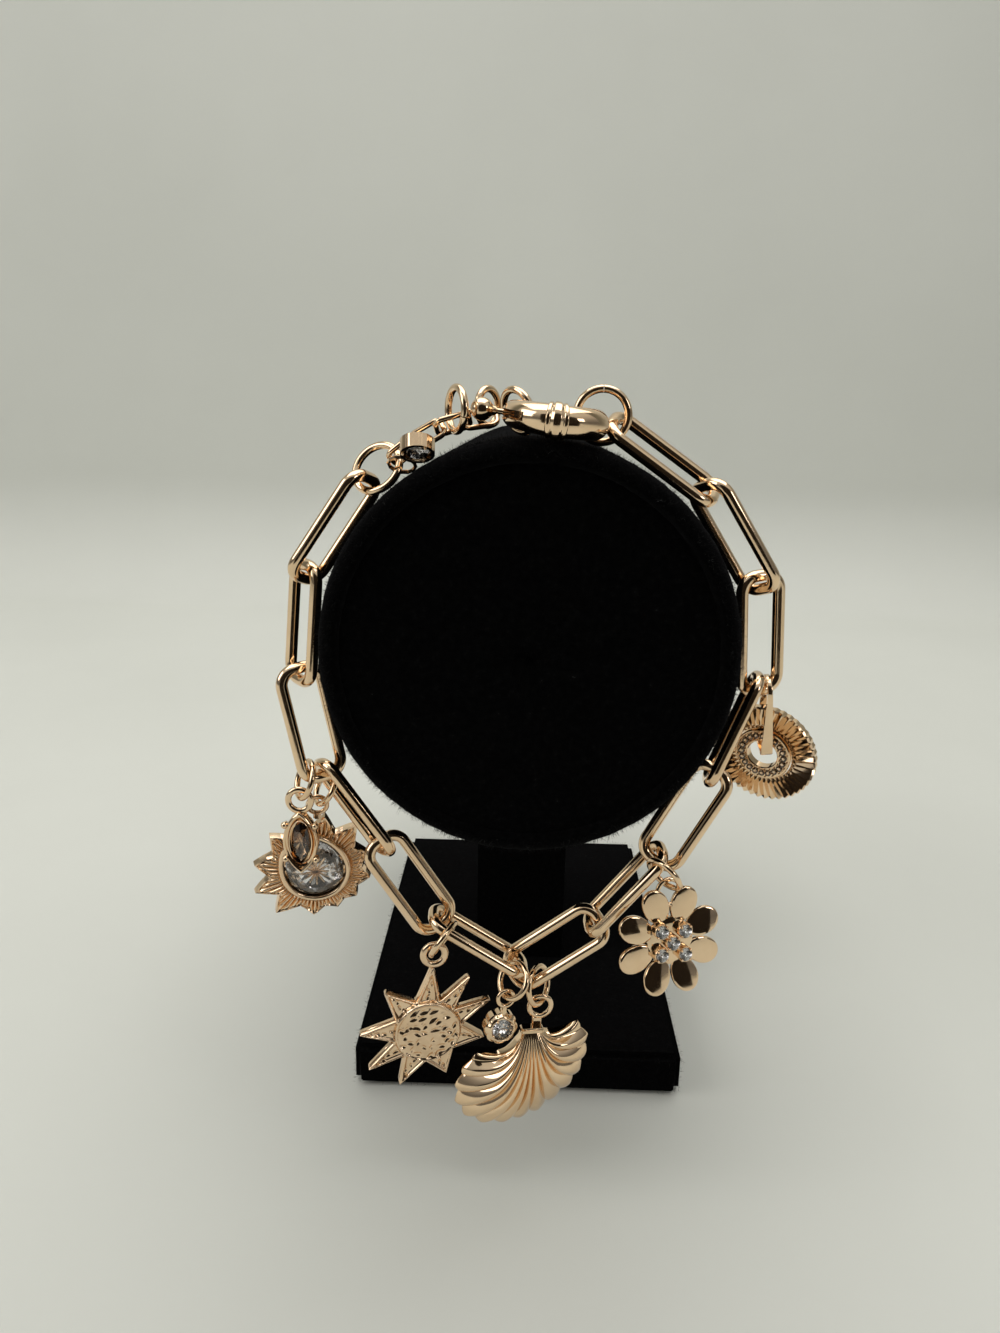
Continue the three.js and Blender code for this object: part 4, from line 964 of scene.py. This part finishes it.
def make_disc():
    lean, yaw = [math.radians(turn) for turn in DISC_TURNS]
    place = (
        CHARMS["disc"] @ shift(0, -STRAP_FOOT, 0)
        @ Matrix.Rotation(lean, 4, "X") @ Matrix.Rotation(yaw, 4, "Y")
        @ shift(0, DISC_REST - DISC_HOLE, 0)
    )

    def height(x, y, turn, radius, reach):
        rise = 0.36 * (1 - pleat_share(turn)) * step(DISC_BAND + 0.1, DISC_BAND + 0.6, radius)
        return 0.27 + rise - 0.2 * (1 - edge_round(reach - radius, 0.25))

    def reach_at(turn):
        return DISC_RADIUS - 0.12 * pleat_share(turn)

    shape = Shape()
    shape.add(*field(reach_at, height, DISC_BACK, PLEATS * 8, 14, hole=DISC_BAND + 0.12))
    add_piece("disc_face", shape.points, shape.faces, [GOLD], "disc_drop", ["disc"], place, 28)

    band = Shape()

    def band_height(x, y, turn, radius, reach):
        groove = 0.1 * math.exp(-((radius - 2.52) / 0.5) ** 2)
        return 0.6 - groove - 0.12 * (1 - edge_round(min(reach - radius, radius - DISC_HOLE), 0.15))

    band.add(*field(lambda t: DISC_BAND, band_height, DISC_BACK, 120, 16, hole=DISC_HOLE))
    stones = 20
    for i in range(stones):
        t = TURN * i / stones
        spot = shift(2.52 * math.cos(t), 2.52 * math.sin(t), 0.64)
        points, faces, kinds = gem(lambda angle: 0.36, 8, 0.13, 0.2)
        band.add(points, faces, spot, [kind + 1 for kind in kinds])
        t += TURN / stones / 2
        for radius in (2.1, 2.94):
            band.add(*ball(0.1, 1.4), shift(radius * math.cos(t), radius * math.sin(t), 0.66))
    # The pavé stones sit on the brown foil, whose brown is a painted reflection.
    add_piece(
        "disc_stones", band.points, band.faces, [GOLD, CRYSTAL, BROWN_PAINTED_REFLECTION], "disc_drop", ["disc_pave"],
        place, 30, band.kinds)
    make_strap()


def make_strap():
    # The strap: a long loop in the YZ plane, narrow on top and wider at its foot
    top, bottom, half, bend, strap = 1.495, -8.505, 1.8, 0.6, 0.4
    top_width, foot_width = 0.5, 1.3
    middle = []
    inner = half - strap / 2
    for i in range(25):
        t = math.pi * i / 24
        middle.append((0, top - half + inner * math.sin(t), inner * math.cos(t)))
    for centre, start in ((-1, 180), (1, 270)):
        for i in range(9):
            t = math.radians(start + 90 * i / 8)
            radius = bend - strap / 2
            y = bottom + bend + radius * math.sin(t)
            middle.append((0, y, centre * (half - bend) + radius * math.cos(t)))
    rows = []
    for i, point in enumerate(middle):
        ahead = Vector(middle[(i + 1) % len(middle)]) - Vector(middle[i - 1])
        out = ahead.cross(Vector((1, 0, 0))).normalized()
        down = step(-top, 7.5, -point[1])
        wide = (top_width + (foot_width - top_width) * down) / 2
        for u, v in (
                (1, -0.8), (0.8, -1), (-0.8, -1), (-1, -0.8), (-1, 0.8), (-0.8, 1), (0.8, 1), (1, 0.8)):
            rows.append(Vector(point) + out * u * strap / 2 + Vector((v * wide, 0, 0)))
    add_piece(
        "disc_strap", rows, rows_of_faces(len(middle), 8, True), [GOLD], "disc_drop", ["disc_bail"],
        CHARMS["disc"], 40)


make_disc()


# Bezel drop on the left-hand ring: its girdle lies a little before the stone's middle
GIRDLE_AHEAD = 0.239


def drop_place():
    """At the stone's girdle: X away from the drop's eye, Z out of its face, which looks down."""
    stone, _ = node_place("drop_stone")
    face = stone.to_3x3() @ Vector((0, 0, 1))
    if face.z > 0:
        face = -face
    centre = stone.translation + face * GIRDLE_AHEAD
    points = [v.co / MM for v in frame["nodes"]["drop_bezel"].data.vertices]
    way = centre - sum(points, Vector()) / len(points)
    way = (way - face * way.dot(face)).normalized()
    return Matrix.Translation(centre) @ Matrix((way, face.cross(way), face)).transposed().to_4x4()


def make_drop():
    place = drop_place()
    shape = Shape()
    cup(shape, place, 1.42, 0.38, 1.25, 0.25, 40)
    claws(shape, place @ shift(0, 0, 0.28), 1.5, 3, 0.16)
    add_piece("drop_setting", shape.points, shape.faces, [GOLD], "stand", [], None, 40)
    add_gem("drop_crystal", "drop_stone", "stand", place, lambda t: 1.3, 8, 0.36, 0.8)


make_drop()


# Stand
def lathe(profile, turns):
    points = []
    for radius, along in profile:
        for i in range(turns):
            t = TURN * i / turns
            points.append((radius * math.sin(t), along, radius * math.cos(t)))
    return points, rows_of_faces(len(profile), turns, False)


PAD_RADIUS = 22.7
PAD_HALF = 57.8
PAD_HEIGHT = 71.6
PAD_EDGE = 1.8
PAD_EDGE_DEPTH = 2.2
BASE_WIDTH = 47.8
BASE_DEPTH = 70.9
BASE_HEIGHT = 6.6


def pad_profile():
    front = [(0.02, -PAD_HALF + 0.55)]
    for i in range(1, 9):
        share = i / 8
        front.append((20 * share, -PAD_HALF + 0.55 + 0.25 * share ** 3))
    front += [(20.25, -PAD_HALF + 0.85), (20.4, -PAD_HALF + 0.55), (20.7, -PAD_HALF + 0.22)]
    for i in range(9):
        turn = math.pi / 2 * i / 8
        radius = PAD_RADIUS - PAD_EDGE + PAD_EDGE * math.sin(turn)
        front.append((radius, -PAD_HALF + 0.08 + PAD_EDGE_DEPTH * (1 - math.cos(turn))))
    straight = PAD_HALF - 2.3
    sides = [(PAD_RADIUS, -straight + 2 * straight * i / 40) for i in range(1, 40)]
    return front + sides + [(radius, -along) for radius, along in reversed(front)]


def make_stand():
    points, faces = lathe(pad_profile(), 160)
    rng = np.random.default_rng(3)
    wave = rng.normal(0, 0.035, len(points))
    softened = []
    for (x, y, z), w in zip(points, wave):
        radius = math.hypot(x, z)
        grow = 1 + w / max(radius, 4)
        softened.append((x * grow, y + w * 0.5, z * grow + PAD_HEIGHT))
    add_piece("roll_velvet", softened, faces, [VELVET], "stand", ["stand_pad"], None, 60)

    made = bmesh.new()
    bmesh.ops.create_cube(made, size=1)
    bmesh.ops.scale(made, vec=(BASE_WIDTH, BASE_DEPTH, BASE_HEIGHT), verts=made.verts)
    bmesh.ops.bevel(made, geom=made.edges[:], offset=0.9, segments=5, affect="EDGES")
    long_edges = [e for e in made.edges if e.calc_length() > 5]
    bmesh.ops.subdivide_edges(made, edges=long_edges, cuts=10, use_grid_fill=True)
    made.verts.index_update()
    points = [v.co + Vector((0, 0, BASE_HEIGHT / 2)) for v in made.verts]
    faces = [[v.index for v in f.verts] for f in made.faces]
    made.free()
    add_piece("base_velvet", points, faces, [VELVET], "stand", ["stand_base"], None, 60)
    post = frame["nodes"]["stand_post"]
    post.data.materials.clear()
    post.data.materials.append(VELVET)


ROLL_FIBRES = 15000
BASE_FIBRES = 7000


def add_fibres(name, spots, seed):
    """Short loose fibres of the pile, each one thin triangle."""
    chance = random.Random(seed)
    points, faces = [], []
    for place, normal in spots:
        lean = Vector([chance.gauss(0, 0.5) for _ in range(3)])
        way = (normal + lean).normalized()
        side = way.cross(Vector([chance.gauss(0, 1) for _ in range(3)])).normalized() * 0.022
        length = chance.uniform(0.25, 0.75) * (1.6 if chance.random() < 0.05 else 1)
        start = len(points)
        points += [place - side, place + side, place + way * length]
        faces.append((start, start + 1, start + 2))
    add_piece(name, points, faces, [FIBRE], "stand", [], None, 0)


def make_fibres():
    chance = random.Random(11)
    spots = []
    for _ in range(ROLL_FIBRES):
        turn = TURN * chance.random()
        out = Vector((math.sin(turn), 0, math.cos(turn)))
        bend = chance.random() * math.pi / 2
        end = -1 if chance.random() < 0.7 else 1
        if chance.random() < 0.45:
            along = chance.uniform(-PAD_HALF + 2, PAD_HALF - 2)
            place, normal = out * PAD_RADIUS + Vector((0, along, 0)), out
        else:
            radius = PAD_RADIUS - PAD_EDGE + PAD_EDGE * math.sin(bend)
            along = end * (PAD_HALF - PAD_EDGE_DEPTH * (1 - math.cos(bend)))
            place = out * radius + Vector((0, along, 0))
            normal = out * math.sin(bend) + Vector((0, end * math.cos(bend), 0))
        spots.append((place + Vector((0, 0, PAD_HEIGHT)), normal))
    add_fibres("roll_fibres", spots, 5)
    spots = []
    half_x, half_y, top = BASE_WIDTH / 2, BASE_DEPTH / 2, BASE_HEIGHT
    for _ in range(BASE_FIBRES):
        side = chance.random()
        x, y = chance.uniform(-half_x, half_x), chance.uniform(-half_y, half_y)
        if side < 0.4:
            spots.append((Vector((x, y, top - 0.02)), Vector((0, 0, 1))))
        elif side < 0.7:
            place = Vector((x, math.copysign(half_y, y), chance.uniform(0.4, top)))
            spots.append((place, Vector((0, math.copysign(1, y), 0))))
        else:
            place = Vector((math.copysign(half_x, x), y, chance.uniform(0.4, top)))
            spots.append((place, Vector((math.copysign(1, x), 0, 0))))
    add_fibres("base_fibres", spots, 6)


make_stand()
make_fibres()

# The drop's bezel stays as the solid and takes the gold
drop_solid = frame["nodes"]["drop_bezel"]
drop_solid.data.materials.clear()
drop_solid.data.materials.append(GOLD)


# Studio
def pale_material(name, low, high):
    made, nodes, links, shader = material(name, Roughness=0.9, Specular_IOR_Level=0.15)
    tints = ramp(nodes, links, noise(nodes, links, 9, 5), [(0.3, low), (0.7, high)])
    links.new(tints, shader.inputs["Base Color"])
    return made


def make_studio():
    # The floor bends up into a wall, in metres
    floor_reach, bend_start, bend = 2.5, 0.3, 0.06
    profile = [(-floor_reach, 0)]
    for i in range(13):
        turn = math.pi / 2 * i / 12
        profile.append((bend_start + bend * math.sin(turn), bend * (1 - math.cos(turn))))
    profile.append((0.4, 2.0))
    points = [(x, y, z) for y, z in profile for x in (-floor_reach, floor_reach)]
    faces = [(2 * i, 2 * i + 1, 2 * i + 3, 2 * i + 2) for i in range(len(profile) - 1)]
    mesh = bpy.data.meshes.new("floor")
    mesh.from_pydata(points, [], faces)
    mesh.polygons.foreach_set("use_smooth", [True] * len(faces))
    mesh.materials.append(pale_material("pale_floor", (0.61, 0.62, 0.575), (0.64, 0.65, 0.605)))
    floor = bpy.data.objects.new("floor", mesh)
    bpy.context.collection.objects.link(floor)

    # A dark card behind the camera, which polished metal that faces the front reflects
    card_left, card_right, card_y, card_top = -0.13, 0.22, -0.25, 0.27
    mesh = bpy.data.meshes.new("dark_card")
    corners = [(x, card_y, z) for x, z in (
        (card_left, 0), (card_right, 0), (card_right, card_top), (card_left, card_top))]
    mesh.from_pydata(corners, [], [(3, 2, 1, 0)])
    mesh.materials.append(pale_material("dark_card", (0.016, 0.012, 0.01), (0.022, 0.017, 0.013)))
    card = bpy.data.objects.new("dark_card", mesh)
    bpy.context.collection.objects.link(card)
    card.visible_camera = False

    for name, place, size, power in (
        ("key_light", (0.02, 0.08, 0.75), 0.8, 4.6),
        ("left_light", (-0.7, -0.3, 0.5), 0.5, 2.0),
        ("right_light", (0.6, -0.5, 0.35), 0.2, 0.5),
    ):
        data = bpy.data.lights.new(name, "AREA")
        data.shape, data.size, data.energy = "SQUARE", size, power
        data.color = (1, 0.985, 0.96)
        light = bpy.data.objects.new(name, data)
        light.location = place
        way = Vector((0, -0.02, 0.05)) - Vector(place)
        light.rotation_euler = way.to_track_quat("-Z", "Y").to_euler()
        bpy.context.collection.objects.link(light)

    world = bpy.data.worlds.new("studio")
    bpy.context.scene.world = world
    world.use_nodes = True
    nodes, links = world.node_tree.nodes, world.node_tree.links
    background = nodes["Background"]
    place = nodes.new("ShaderNodeTexCoord")
    split = nodes.new("ShaderNodeSeparateXYZ")
    links.new(place.outputs["Generated"], split.inputs[0])
    raise_up = nodes.new("ShaderNodeMath")
    raise_up.operation = "MULTIPLY_ADD"
    raise_up.inputs[1].default_value = 0.5
    raise_up.inputs[2].default_value = 0.5
    links.new(split.outputs["Z"], raise_up.inputs[0])
    sky = ramp(nodes, links, raise_up.outputs[0], [
        (0.45, (0.3, 0.3, 0.29)), (0.55, (0.16, 0.16, 0.155)),
        (0.68, (0.32, 0.32, 0.31)), (0.85, (0.7, 0.7, 0.67))])
    behind = nodes.new("ShaderNodeVectorMath")
    behind.operation = "DOT_PRODUCT"
    behind.inputs[1].default_value = (0.05, -0.96, 0.28)
    links.new(place.outputs["Generated"], behind.inputs[0])
    shade = ramp(nodes, links, behind.outputs["Value"], [(0.8, grey(1)), (0.9, grey(0.12))])
    mix = nodes.new("ShaderNodeMix")
    mix.data_type, mix.blend_type = "RGBA", "MULTIPLY"
    mix.inputs["Factor"].default_value = 1
    links.new(sky, mix.inputs[6])
    links.new(shade, mix.inputs[7])
    links.new(mix.outputs[2], background.inputs["Color"])
    background.inputs["Strength"].default_value = 0.8
    bpy.context.scene.view_settings.view_transform = "Standard"


make_studio()
